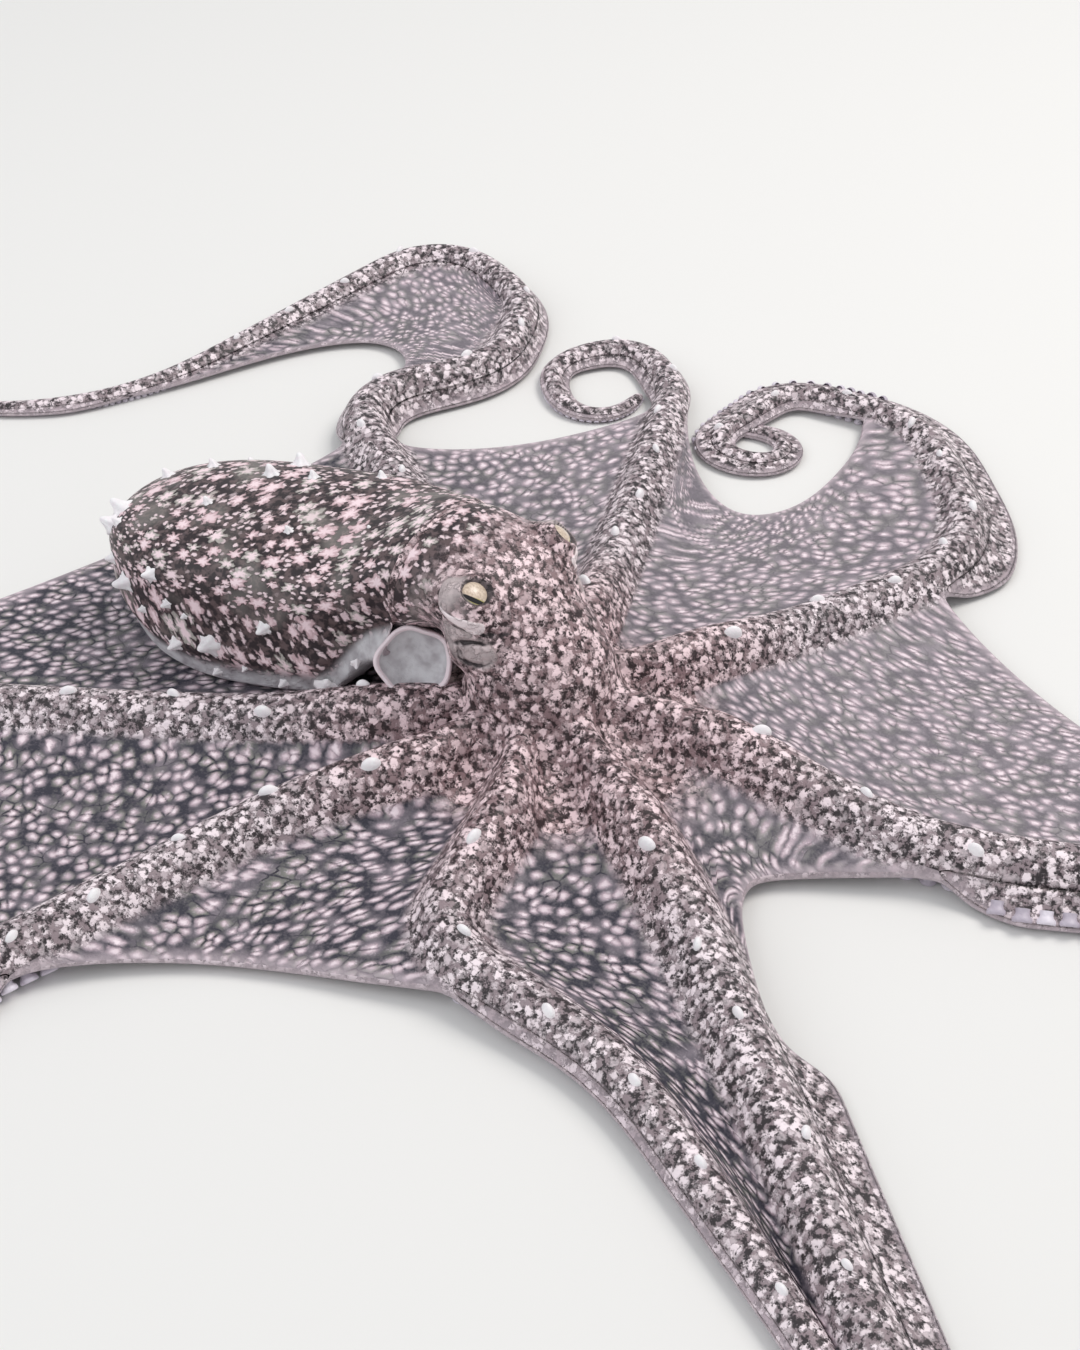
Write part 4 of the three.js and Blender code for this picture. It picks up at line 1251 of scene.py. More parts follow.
def lids(points, eye):
    """Moves the corners near an eye. Returns them with three marks: dark folds together with a painted shadow
    round the opening, pale skin and chalk.
    """
    away = points - eye.centre
    far = np.linalg.norm(away, axis=1) + 1e-9
    ahead, along, over = away @ eye.gaze, away @ eye.slit, away @ eye.up
    lid = EYE_RADIUS + LID_THICK
    outward = smoothstep((ahead / far + 0.25) / 0.4)
    mound = LID_FILLET * np.log(np.exp(far / LID_FILLET) + np.exp(lid / LID_FILLET))
    mound = mix(far, mound, outward * smoothstep((EYE_RADIUS * MOUND_REACH - far) / 3))
    scale = lid / np.maximum(far, lid * 0.4)
    oval = np.hypot((along * scale - OPENS_AT[0]) / OPENING[0], (over * scale - OPENS_AT[1]) / OPENING[1])
    oval = np.where(ahead > 0, oval, 9.0)
    mound += LID_RIM * hump(oval, RIM_AT, RIM_WIDTH) * outward * (0.4 + 0.6 * smoothstep(-over / 2))
    mound -= LID_GROOVE * hump(oval, GROOVE_AT, GROOVE_WIDTH) * outward
    inside = smoothstep((1 + LID_EDGE_SOFT / 2 - oval) / LID_EDGE_SOFT)
    mound = mix(mound, EYE_RADIUS - HIDDEN_BY, inside)
    shaped = eye.centre + away / far[:, None] * mound[:, None]

    x, y = away @ eye.cheek_along, away @ eye.cheek_up
    facing = smoothstep((away @ eye.cheek + 7) / 3)
    ripple = RIPPLE * waver(points, RIPPLE_LENGTH)
    ragged = 0.5 + 0.5 * smoothstep(waver(points, 0.8, 2.0) + 0.6)
    dark_folds_and_lid_shadow = np.zeros(len(points))
    for line in FOLDS:
        aside, share = far_from_line(x, y, line)
        dark_folds_and_lid_shadow = np.maximum(dark_folds_and_lid_shadow, hump(aside + ripple, 0, FOLD_WIDTH) * facing
                         * ragged * hump(share, 0.5, 0.6))
    shaped -= eye.cheek * (FOLD_DEPTH * dark_folds_and_lid_shadow)[:, None]
    aside, share = far_from_line(x, y, FLAP)
    chalk = (1 - smoothstep((aside + ripple - mix(*FLAP_WIDTH, share)) / 0.4 + 0.5)) * facing
    shaped += eye.cheek * (FLAP_STANDS * chalk)[:, None]
    aside, _ = far_from_line(x, y, CHEEK_PADS)
    pads = (1 - ramp(aside + ripple, *PAD_WIDTH)) * facing
    shaped += eye.cheek * (FLAP_STANDS * pads * (1 - dark_folds_and_lid_shadow))[:, None]
    patch = (1 - ramp(np.hypot(x - EYE_PATCH[0], y - EYE_PATCH[1]) + ripple, *EYE_PATCH_WIDTH)) * facing
    around = 1 - ramp(oval + 0.4 * ripple, *ORBIT_RING)
    around = around * smoothstep((1.0 - 0.6 * x - 0.8 * y) / 2.5)
    # a dark line round the opening: painted shadow under the lids' rim
    dark_folds_and_lid_shadow = np.maximum(dark_folds_and_lid_shadow, hump(oval, 1.0, 0.11) * 0.75)
    return shaped, dark_folds_and_lid_shadow * (1 - chalk), np.maximum(np.maximum(patch, pads), 0.8 * around), chalk


shape = read_points(skin.data)
dark_folds_and_lid_shadow, pale, chalk = np.zeros((3, len(shape)))
for eye in EYES:
    near = np.linalg.norm(shape - eye.centre, axis=1) < EYE_RADIUS * LIDS_REACH
    shape[near], eye_dark_folds_and_lid_shadow, eye_pale, eye_chalk = lids(shape[near], eye)
    dark_folds_and_lid_shadow[near], pale[near] = np.maximum(dark_folds_and_lid_shadow[near], eye_dark_folds_and_lid_shadow), np.maximum(pale[near], eye_pale)
    chalk[near] = np.maximum(chalk[near], eye_chalk)
write_points(skin.data, shape)
for name, values in (("dark_folds_and_lid_shadow", dark_folds_and_lid_shadow), ("pale", pale), ("chalk", chalk)):
    layer = skin.data.attributes.new(name, "FLOAT", "POINT")
    layer.data.foreach_set("value", values.astype(np.float32))
print("corners moved round the eyes:", int((dark_folds_and_lid_shadow > 0.5).sum()), "inked")

# %% [markdown]
# ## The eyes
# An eyeball is a fine ball in place of the frame's coarse one, turned so that its pole is
# the gaze. The level slit of the pupil is part of its material, and so is a painted shade
# that darkens the ball towards the lids.

# %% Eyeballs
EYE_SEGMENTS = 64


def make_eye(eye):
    bpy.ops.mesh.primitive_uv_sphere_add(segments=EYE_SEGMENTS, ring_count=EYE_SEGMENTS // 2,
                                         radius=EYE_RADIUS * MM)
    ball = bpy.context.object
    ball.name = eye.name + "_ball"
    ball.data.name = ball.name
    turn = Matrix((eye.slit, np.cross(eye.gaze, eye.slit), eye.gaze)).transposed().to_4x4()
    ball.data.transform(Matrix.Translation(Vector(eye.centre * MM)) @ turn)
    for polygon in ball.data.polygons:
        polygon.use_smooth = True
    ball.data.uv_layers[0].name = "OFBake"
    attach(ball, "root")
    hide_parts(eye.name)
    return ball


balls = [make_eye(eye) for eye in EYES]
print("eyeballs:", [ball.name for ball in balls])

# %% [markdown]
# ## Suckers
# Two rows of suckers run under each arm, large near the mouth and tiny at the tip. Most are
# hidden between arm and floor. Along some free edges and in the curled tips the arm is
# rolled a little, and there one row leans out from under it.

# %% Suckers
SUCKER_PROFILE = [(0.0, 0.52), (0.34, 0.5), (0.6, 0.26), (0.78, 0.03), (0.92, 0.0), (1.0, 0.14),
                  (0.96, 0.34), (0.74, 0.5), (0.66, 0.7), (0.7, 1.0)]
SUCKER_SEGMENTS = 14
SUCKER_FIRST = 9.0             # distance from the crown's centre to the first pair
SUCKER_RADIUS = 2.1
SUCKER_TIP_RADIUS = 0.45
SUCKER_SPACING = 2.25          # in radii, along one row
ROW_OUT = 0.42                 # a row's distance from the midline, as a part of the arm's half width
SHOWN = [                      # arm, side, from and to along it, and how far the row leans out
    (0, 0, 64, 200, 0.9), (1, 0, 150, 205, 1.0), (1, 0, 205, 246, 0.7), (1, 1, 205, 246, 0.5),
    (2, 0, 120, 206, 0.7), (5, 1, 84, 250, 0.8), (3, 1, 325, 370, 0.5), (7, 0, 160, 290, 0.5),
    (6, 0, 60, 200, 0.35)]
LEAN_GROWS, LEAN_FADES = 10, 8
LEAN_SWELLS = 0.2              # a sucker that leans out is larger by up to this share
LEAN_TURNS = 0.95              # and turned by up to this angle
ROWS_END = 1.5                 # the rows end this far before the tip
SUCKER_FOOT = 0.06             # the cups' lips stand this high above the floor


def revolve(profile, segments):
    """A surface of revolution about +Z: its corners, and its faces as triangles.

    A ring of radius 0 becomes one corner, so no face is without area."""
    around = np.linspace(0, 2 * np.pi, segments, endpoint=False)
    profile = np.array(profile)
    points = np.stack([profile[:, :1] * np.cos(around), profile[:, :1] * np.sin(around),
                       np.broadcast_to(profile[:, 1:], (len(profile), segments))], -1).reshape(-1, 3)
    ring = np.arange((len(profile) - 1) * segments).reshape(-1, segments)
    after = np.roll(ring, -1, axis=1)
    quads = np.stack([ring, after, after + segments, ring + segments], -1).reshape(-1, 4)
    faces = np.concatenate([quads[:, [0, 1, 2]], quads[:, [0, 2, 3]]])
    number = np.arange(len(points)).reshape(-1, segments)
    pole = profile[:, 0] == 0
    number[pole] = number[pole][:, :1]
    faces = number.ravel()[faces]
    faces = faces[has_three_corners(faces)]
    used, faces = np.unique(faces, return_inverse=True)
    return points[used], faces.reshape(-1, 3)


class Brood:
    """Many copies of small shapes, gathered for one mesh."""

    def __init__(self):
        self.points, self.faces, self.tones, self.count = [], [], [], 0

    def add(self, points, faces, place, frame, tone):
        """frame holds the three directions, with lengths, that the shape's x, y and z take."""
        self.points.append(points @ np.array(frame) + np.array(place))
        self.faces.append(faces + self.count)
        self.tones.append(np.full(len(points), tone))
        self.count += len(points)

    def mesh(self, name):
        points, faces = np.concatenate(self.points), np.concatenate(self.faces)
        mesh = bpy.data.meshes.new(name)
        mesh.from_pydata((points * MM).tolist(), [], faces.tolist())
        mesh.polygons.foreach_set("use_smooth", np.ones(len(faces), dtype=bool))
        layer = mesh.attributes.new("tone", "FLOAT", "POINT")
        layer.data.foreach_set("value", np.concatenate(self.tones).astype(np.float32))
        obj = add_object(name, mesh)
        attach(obj, "root")
        return obj


def lean_of(number, side, s):
    lean = 0.0
    for arm_number, arm_side, start, end, most in SHOWN:
        if arm_number == number and arm_side == side:
            share = ramp(s, start, start + LEAN_GROWS) * (1 - ramp(s, end, end + LEAN_FADES))
            lean = max(lean, most * float(share))
    return lean


def sucker_radius(a, s):
    return float(mix(SUCKER_TIP_RADIUS, SUCKER_RADIUS, taper_of(a, s) ** 1.1))


def sprout_suckers(brood, number, a):
    """Two staggered rows under one arm."""
    cup, cup_faces = revolve(SUCKER_PROFILE, SUCKER_SEGMENTS)
    s, side = SUCKER_FIRST - ROUTE_START + CROWN_EDGE, 0
    while s < a.length - ROWS_END:
        sign = -1 if side == 0 else 1
        lean = lean_of(number, side, s)
        tilt = lean * LEAN_TURNS
        radius = sucker_radius(a, s)
        radius *= 1 + LEAN_SWELLS * lean
        core = float(half_width(a, s))
        edge = core + float(fin_width(a, s, side)) * 0.85
        aside = sign * mix(max(ROW_OUT * core, radius * 0.95), edge + 0.5 * radius, lean)
        ahead, to_left = headings(a, s)
        outward = sign * to_left
        axis = UP * math.cos(tilt) - outward * math.sin(tilt)
        face = outward * math.cos(tilt) + UP * math.sin(tilt)
        if lean > 0.05:
            height = min(1.3 * radius, max(0.9, 0.75 * float(ridge(a, s))))
        else:
            height = max(1.0, float(sole_height(a, s, ridge(a, s))) + 0.5)
        base = beside(a, s, aside, SUCKER_FOOT + radius * math.sin(tilt) * 0.98)
        grow = float(rng.uniform(0.93, 1.07))
        brood.add(cup, cup_faces, base, (ahead * radius * grow, face * radius * grow, axis * height),
                  tone=float(rng.uniform(0, 1)))
        s += radius * SUCKER_SPACING / 2
        side = 1 - side


brood = Brood()
for number, each in enumerate(ARMS):
    sprout_suckers(brood, number, each)
suckers = brood.mesh("octopus_suckers")
print("suckers:", len(brood.tones), " faces:", len(suckers.data.polygons))

# %% [markdown]
# ## Papillae
# Small soft points stand on the skin: white drops in a row along each arm, and ragged
# spikes along both keels of the mantle and on its back. A spike is a drawn-out cone whose
# foot is pulled into a star, so it grows out of one of the pale stars there.

# %% Papillae
DROP_PROFILE = [(0.0, 1.0), (0.3, 0.94), (0.6, 0.74), (0.86, 0.42), (0.98, 0.1), (1.0, -0.35)]
SPIKE_PROFILE = [(0.0, 1.0), (0.16, 0.96), (0.3, 0.85), (0.42, 0.66), (0.54, 0.42), (0.74, 0.17), (1.05, 0.0),
                 (1.1, -0.25)]
SPIKE_SEGMENTS = 20
DROP_SPACING = 20.5
DROP_SIZE = (1.9, 1.05, 1.2)   # half length, half width and height
DROP_ROOT = 0.4
DROP_SEGMENTS = 16
DROPS_FROM, DROPS_END = 22.0, 40     # along an arm, and before its tip
SPIKE_HEIGHT = 1.5             # in half widths
SPIKE_BEND = 0.35
SPIKE_FOOT = 1.15              # breadth of the star-shaped foot, and how deep its points are cut
SPIKE_RAGGED = 0.2
SPIKE_ROOT = 0.1
# Station, angle and size of each spike: along the keels the angle is counted below the middle
SIDE_SPIKES = ((40.5, 0.62, 0.8), (50.5, 0.66, 2.1), (63.0, 0.10, 1.4), (62.0, 0.56, 1.1), (70.0, 0.42, 0.7),
               (76.5, 0.26, 2.0), (77.0, 0.55, 1.0), (81.5, 0.12, 0.7), (85.5, 0.07, 1.0), (85.0, 0.34, 1.3),
               (89.0, -0.22, 1.3), (93.0, 0.22, 0.9), (98.0, 0.12, 1.9), (103.0, 0.05, 1.2))
BACK_SPIKES = ((47.0, 1.7, 0.9), (55.0, 0.9, 1.0), (62.0, 1.9, 0.9), (67.0, 1.2, 1.1), (74.0, 0.84, 1.7),
               (76.5, 1.25, 1.5), (84.0, 1.7, 1.0), (92.0, 1.1, 1.2), (101.0, 1.2, 1.3), (105.5, 1.95, 2.0),
               (106.0, 2.5, 1.8), (103.5, 2.3, 1.0))


def body_place(q, angle):
    """A point on the mantle, the way to the tail, the way round it, and outward."""
    def at(q, angle):
        q, angle = np.array(float(q)), np.array(float(angle))
        return body_points(q, angle, *mantle_size(q, angle))

    point = at(q, angle)
    back, round_ = unit(at(q + 0.4, angle) - point), unit(at(q, angle + 0.02) - point)
    outward = unit(np.cross(back, round_))
    return point, back, np.cross(outward, back), outward


def ragged(points, amount):
    """A star-shaped foot: the shape is drawn out and in as one goes round it."""
    angle = np.arctan2(points[:, 1], points[:, 0])
    low = np.clip(1 - points[:, 2], 0, 1)
    grow = 1 + amount * low * np.cos(5 * angle + rng.uniform(0, 6)) + 0.1 * np.cos(9 * angle)
    return points * np.stack([grow, grow, np.ones_like(grow)], -1)


papillae = Brood()
drop, drop_faces = revolve(DROP_PROFILE, DROP_SEGMENTS)
spike, spike_faces = revolve(SPIKE_PROFILE, SPIKE_SEGMENTS)


def stand_spike(q, angle, size):
    point, back, round_, outward = body_place(q, angle)
    shape = ragged(spike, SPIKE_RAGGED)
    shape[:, 0] += SPIKE_BEND * np.clip(shape[:, 2], 0, 1) ** 2
    papillae.add(shape, spike_faces, point - outward * SPIKE_ROOT,
                 (back * size * SPIKE_FOOT, round_ * size * SPIKE_FOOT, outward * size * SPIKE_HEIGHT),
                 tone=float(rng.uniform(0.7, 1)))


for q, below, size in SIDE_SPIKES:
    stand_spike(q, below - np.pi, size)
    stand_spike(q + 2 * rng.normal(), -below + 0.05 * rng.normal(), size)
for q, angle, size in BACK_SPIKES:
    stand_spike(q, angle, size)

for a in ARMS:
    s = DROPS_FROM + 5 * rng.uniform()
    while s < a.length - DROPS_END:
        c = 0.3 * rng.uniform(-1, 1)
        size = taper_of(a, s) ** 0.35 * rng.uniform(0.8, 1.15)
        point = arm_top(a, np.array(s), np.array(c))
        ahead, aside = headings(a, s, 0.35 * rng.normal())
        papillae.add(drop, drop_faces, point - UP * DROP_ROOT,
                     (ahead * DROP_SIZE[0] * size, aside * DROP_SIZE[1] * size,
                      UP * (DROP_SIZE[2] * size + DROP_ROOT)), tone=1.0)
        s += DROP_SPACING * rng.uniform(0.75, 1.25)
papillae_piece = papillae.mesh("octopus_papillae")
print("papillae:", len(papillae.tones), " faces:", len(papillae_piece.data.polygons))

# %% [markdown]
# ## Arithmetic with shader nodes
# Patterns are formulas over the surface. So one small class wraps an output of a shader node
# and lets it be added, multiplied and compared like a number.

# %% Fields
class Field:
    """A value that varies over a surface: one output of a shader node, with arithmetic."""

    def __init__(self, tree, socket=None):
        self.tree, self.socket = tree, socket

    def node(self, kind, settings=None, inputs=None, out=0):
        """Any node: its settings first, then what goes into its inputs."""
        node = self.tree.nodes.new(kind)
        for name, value in (settings or {}).items():
            setattr(node, name, value)
        for slot, value in (inputs or {}).items():
            if isinstance(value, Field):
                self.tree.links.new(value.socket, node.inputs[slot])
            else:
                node.inputs[slot].default_value = value
        return Field(self.tree, node.outputs[out])

    def other(self, out):
        """Another output of the same node."""
        return Field(self.tree, self.socket.node.outputs[out])

    def math(self, operation, *values):
        return self.node("ShaderNodeMath", {"operation": operation}, dict(enumerate(values)))

    def __add__(self, other):
        return self.math("ADD", self, other)

    def __radd__(self, other):
        return self.math("ADD", other, self)

    def __sub__(self, other):
        return self.math("SUBTRACT", self, other)

    def __rsub__(self, other):
        return self.math("SUBTRACT", other, self)

    def __mul__(self, other):
        return self.math("MULTIPLY", self, other)

    def __rmul__(self, other):
        return self.math("MULTIPLY", other, self)

    def __truediv__(self, other):
        return self.math("DIVIDE", self, other)

    def __rtruediv__(self, other):
        return self.math("DIVIDE", other, self)

    def least(self, other):
        return self.math("MINIMUM", self, other)

    def most(self, other):
        return self.math("MAXIMUM", self, other)

    def step(self, start, end):
        """Goes smoothly from 0 at start to 1 at end. End may be the lower of the two."""
        if end < start:
            return 1 - self.step(end, start)
        return self.node("ShaderNodeMapRange", {"interpolation_type": "SMOOTHSTEP"},
                         {0: self, 1: start, 2: end})

    def colour(self, at_0, at_1):
        """The colour between two colours that this value picks."""
        return self.node("ShaderNodeMix", {"data_type": "RGBA"}, {0: self, 6: at_0, 7: at_1}, out=2)

    def vector(self, operation, other, out=0):
        return self.node("ShaderNodeVectorMath", {"operation": operation}, {0: self, 1: other}, out=out)

    def scaled(self, factor):
        return self.node("ShaderNodeVectorMath", {"operation": "SCALE"}, {0: self, 3: factor})

    def along(self, direction):
        return self.vector("DOT_PRODUCT", direction, out=1)

    def parts(self):
        split = self.node("ShaderNodeSeparateXYZ", {}, {0: self})
        return split, split.other(1), split.other(2)

    def mark(self, name):
        return self.node("ShaderNodeAttribute", {"attribute_name": name}, out=2)

    def noise(self, size, detail=2.0, rough=0.5):
        """Smooth noise from 0 to 1 whose waves are about this long."""
        return self.node("ShaderNodeTexNoise", {}, {
            0: self, "Scale": 1 / size, "Detail": detail, "Roughness": rough})

    def drift(self, *noise):
        """Noise in all three directions, from -0.5 to 0.5."""
        return self.noise(*noise).other(1).vector("SUBTRACT", (0.5, 0.5, 0.5))

    def cells(self, size, feature="F1", flat=False, stray=1.0):
        """Distance to the nearest of scattered points. The next outputs are a colour and the point."""
        return self.node("ShaderNodeTexVoronoi", {
            "feature": feature, "voronoi_dimensions": "2D" if flat else "3D"},
            {0: self, "Scale": 1 / size, "Randomness": stray})


COAT_ROUGHNESS = 0.25
WET_IOR = 1.38


def new_material(name):
    """A new material, its shader, and the surface's place in millimetres as a field."""
    material = bpy.data.materials.new(name)
    material.use_nodes = True
    tree = material.node_tree
    place = Field(tree).node("ShaderNodeTexCoord", out=3).scaled(1 / MM)
    return material, tree.nodes["Principled BSDF"], place


def finish_material(shader, colour, roughness, height, height_mm, coat):
    tree = colour.tree
    tree.links.new(colour.socket, shader.inputs["Base Color"])
    tree.links.new(roughness.socket, shader.inputs["Roughness"])
    bump = colour.node("ShaderNodeBump", {}, {
        "Strength": 1.0, "Distance": height_mm * MM, "Height": height})
    tree.links.new(bump.socket, shader.inputs["Normal"])
    shader.inputs["Coat Weight"].default_value = coat
    shader.inputs["Coat Roughness"].default_value = COAT_ROUGHNESS
    shader.inputs["IOR"].default_value = WET_IOR


# %% [markdown]
# ## The skin's patterns
# Each region has its own small pattern in much the same tones: a dark net over bright-centred
# cells on the webs, ragged pale stars on the mantle, and a mottle like coarse sand on the
# arms, which turns redder on crown and head. The marks laid with the mesh mix them. Faces
# that show only one pattern get a material with that pattern alone, which renders faster.

# %% Tones and patterns
WEB_DARK, WEB_MID, WEB_PALE = (0.040, 0.038, 0.055, 1), (0.310, 0.265, 0.300, 1), (0.56, 0.49, 0.53, 1)
WEB_GREEN, WEB_LIGHT = (0.275, 0.270, 0.245, 1), (1.0, 0.86, 0.91, 1)
WEB_HALO = (0.52, 0.39, 0.45, 1)
PALER_WAY, PALER_FROM = (0.6, 0.8, 0.0), (-25.0, 60.0)      # webs grow paler towards the left front
STAR_DARK, STAR_BROWN = (0.030, 0.021, 0.024, 1), (0.13, 0.090, 0.092, 1)
STAR_MID, STAR_GREEN, STAR_LIGHT = (0.64, 0.45, 0.48, 1), (0.44, 0.41, 0.38, 1), (0.98, 0.78, 0.82, 1)
FLECK_TONES = ((0.034, 0.019, 0.021, 1), (0.30, 0.20, 0.21, 1), (1.0, 0.77, 0.80, 1))
SAND_TONES = ((0.038, 0.030, 0.033, 1), (0.33, 0.26, 0.28, 1), (1.0, 0.87, 0.91, 1))
PLAIN, PLAIN_DARK = (0.40, 0.37, 0.395, 1), (0.26, 0.245, 0.265, 1)
PEARL = (0.70, 0.69, 0.71, 1)
EDGE_TONE = (0.66, 0.55, 0.60, 1)
RIM_TONE = (0.98, 0.84, 0.88, 1)
ORBIT_TONE, ORBIT_DARK = (0.62, 0.53, 0.53, 1), (0.40, 0.34, 0.34, 1)
# colour of the cheek's dark folds, and of the painted shadow round the lids' opening
DARK_FOLDS_AND_LID_SHADOW = (0.026, 0.021, 0.024, 1)
CHALK = (0.98, 0.86, 0.87, 1)
WEB_DRIFT = 6.0                # the net's meshes wander and change tone over this length
WEB_STRAY = 0.9
WEB_GRAIN = 0.9
STAR_SIZE = 5.0                # spacing of the stars in millimetres
STAR_POINTS = 6.0
STAR_DRIFT, STARS_STRAY = 1.5, 1.9
DOT_SIZE = 1.9
HAZE_SIZE = 13.0               # grey-green hazy patches on the mantle
GRAIN_SIZE = 1.3
BLOB_SIZE, BLOBS_STRAY = 1.7, 2.6
REDDER_WITHIN = (62.0 ** 2, 22.0 ** 2)       # squared distances from the crown's centre, over which
WEBS_SHOW_FROM = (17.0 ** 2, 36.0 ** 2)      # the skin turns redder, and the webs' pattern begins
MOTTLE_RELIEF, WEB_RELIEF, STAR_RELIEF = 1.8, 1.4, 1.3
SKIN_RELIEF_MM = 0.3
SKIN_COAT = 0.12


def web_pattern(place, weave):
    """Bright spots in soft grey cells, darker between them. Returns the colour and a height."""
    drift = place.drift(WEB_DRIFT, 2.0)
    bent = weave.vector("ADD", drift)
    near = bent.cells(1.0, flat=True, stray=WEB_STRAY)
    border = bent.cells(1.0, "DISTANCE_TO_EDGE", flat=True, stray=WEB_STRAY)
    chance, other, _ = near.other(1).parts()
    patch, stain, _ = drift.parts()
    paler = place.along(PALER_WAY).step(*PALER_FROM)
    gloom = near.step(0.24, 0.60) * (0.88 + 2.4 * patch).least(1.0).most(0.35)
    net = border.step(0.18, 0.0) * (0.80 + 2.6 * stain).least(1.0).most(0.1)
    fine = place.noise(WEB_GRAIN, 2.0, 0.7)
    dark = gloom.most(net) * (1 - 0.4 * paler) * (0.35 + 1.3 * fine)
    inward = near + 0.14 * chance + 0.4 * (fine - 0.5)
    halo = inward.step(0.50, 0.24)
    spot = inward.step(0.38, 0.10) * (0.55 + 0.45 * other)
    cell = (stain + 0.25 * (chance - 0.5)).step(-0.08, 0.16).colour(WEB_MID, WEB_GREEN)
    cell = (0.45 * paler).colour(cell, WEB_PALE)
    cell = fine.step(0.52, 0.70).colour(cell, WEB_PALE)
    shade = (0.8 * halo).colour(dark.colour(cell, WEB_DARK), WEB_HALO)
    return spot.colour(shade, WEB_LIGHT), 0.6 - 0.6 * dark + 0.4 * spot


def star_pattern(place, weave):
    """Ragged stars and small dots on a dark ground. Returns the colour and where it is pale."""
    drift = place.drift(STAR_DRIFT, 2.0, 0.6)
    bent = weave.vector("ADD", drift.scaled(STARS_STRAY))
    stars = bent.cells(STAR_SIZE, flat=True, stray=0.7)
    chance, phase, tint = stars.other(1).parts()
    x, y, _ = bent.vector("SUBTRACT", stars.other(2)).parts()
    turn = STAR_POINTS * x.math("ARCTAN2", y, x) + 6.0 * phase
    reach = (x * x + y * y).math("SQRT", x * x + y * y)
    limit = (1.0 + 1.6 * chance) * (0.82 + 0.20 * turn.math("COSINE", turn))
    star = (reach - limit).step(0.28, -0.28)
    heart = (reach - 0.6 * limit).step(0.4, -0.5)
    dots = bent.vector("ADD", (7.3, 1.9, 0.0)).cells(DOT_SIZE, flat=True)
    dot = dots.step(0.40, 0.20) * dots.other(1).parts()[0].step(0.30, 0.45)
    haze = 0.6 * place.noise(HAZE_SIZE, 1.0).step(0.56, 0.70)
    ground = drift.parts()[2].step(-0.06, 0.12).colour(STAR_DARK, STAR_BROWN)
    ground = (0.55 * haze).colour(ground, STAR_GREEN)
    edge = tint.step(0.62, 0.72).colour(STAR_MID, STAR_GREEN)
    pale = (heart * (1 - 0.55 * haze)).colour(edge, STAR_LIGHT)
    return star.colour((0.85 * dot).colour(ground, STAR_LIGHT), pale), star.most(dot)


def mottle_pattern(place, tones):
    """Broken pale blobs on a mottled ground, as of coarse sand. Returns the colour and a height."""
    dark, mid, light = tones
    grain = place.noise(GRAIN_SIZE, 3.0, 0.68)
    blobs = place.vector("ADD", grain.other(1).scaled(BLOBS_STRAY)).cells(BLOB_SIZE)
    chance, tint, _ = blobs.other(1).parts()
    blob = (blobs + 0.25 * chance).step(0.80, 0.50) * grain.step(0.36, 0.48)
    blob = blob * (1 - 0.6 * tint.step(0.5, 0.9))
    shade = (grain + 0.10 * chance).step(0.50, 0.62).colour(dark, mid)
    return blob.colour(shade, light), 0.6 * grain + 0.5 * blob


def make_skin_material(name, shows):
    """The skin where these patterns show: mottle, web, stars or eyes."""
    material, shader, place = new_material(name)
    under, edge, smooth = place.mark("under"), place.mark("edge"), place.mark("smooth")
    plain = under.most(smooth)
    weave = place.node("ShaderNodeUVMap", {"uv_map": "weave"})
    x, y, _ = place.parts()
    squared = x * x + y * y
    if "mottle" in shows:
        redder = squared.step(*REDDER_WITHIN).most(place.mark("head"))
        tones = [redder.colour(sand, fleck) for sand, fleck in zip(SAND_TONES, FLECK_TONES)]
        colour, height = mottle_pattern(place, tones)
        height = MOTTLE_RELIEF * height
    if "web" in shows:
        net, net_height = web_pattern(place, weave)
        netted = place.mark("web") * squared.step(*WEBS_SHOW_FROM)
        colour = netted.colour(colour, net)
        height = height * (1 - netted) + WEB_RELIEF * netted * net_height
    if "stars" in shows:
        starry, star_height = star_pattern(place, weave)
        if "mottle" in shows:
            starred = place.mark("mantle")
            colour = starred.colour(colour, starry)
            height = height * (1 - starred) + STAR_RELIEF * starred * star_height
        else:
            colour, height = starry, STAR_RELIEF * star_height
    soft = place.noise(3.0, 2.0)
    pearl = place.mark("pearl")
    smoother = soft.step(0.3, 0.6).colour(PLAIN_DARK, PLAIN)
    colour = plain.colour(colour, pearl.colour(smoother, soft.step(0.2, 0.7).colour(PLAIN, PEARL)))
    colour = (edge * (0.55 + 0.4 * pearl)).colour(colour, pearl.colour(EDGE_TONE, RIM_TONE))
    if "eyes" in shows:
        dark_folds_and_lid_shadow, pale, chalk = place.mark("dark_folds_and_lid_shadow"), place.mark("pale"), place.mark("chalk")
        colour = (0.85 * pale).colour(colour, soft.step(0.25, 0.55).colour(ORBIT_DARK, ORBIT_TONE))
        colour = chalk.step(0.2, 0.6).colour(colour, CHALK)
        # dark folds, and the painted shadow round the lids' opening
        colour = (0.9 * dark_folds_and_lid_shadow.step(0.25, 0.7)).colour(colour, DARK_FOLDS_AND_LID_SHADOW)
    height = height * (1 - 0.8 * plain)
    roughness = 0.36 + 0.25 * soft - 0.06 * plain
    finish_material(shader, colour, roughness, height, SKIN_RELIEF_MM, SKIN_COAT)
    return material


SUCKER_TONES = ((0.52, 0.46, 0.54, 1), (0.86, 0.80, 0.88, 1))
PAPILLA_TONES = ((0.97, 0.91, 0.94, 1), (1.0, 1.0, 1.0, 1))


def make_sucker_material():
    """Pale waxy cups, each a little different in tone."""
    material, shader, place = new_material("octopus_suckers")
    tone = place.mark("tone")
    blush = (0.5 * tone + 0.5 * place.noise(1.5, 2.0)).step(0.2, 0.8)
    colour = blush.colour(*SUCKER_TONES)
    finish_material(shader, colour, 0.3 + 0.2 * place.noise(0.8), place.noise(0.5, 3.0), 0.12, coat=0.2)
    return material


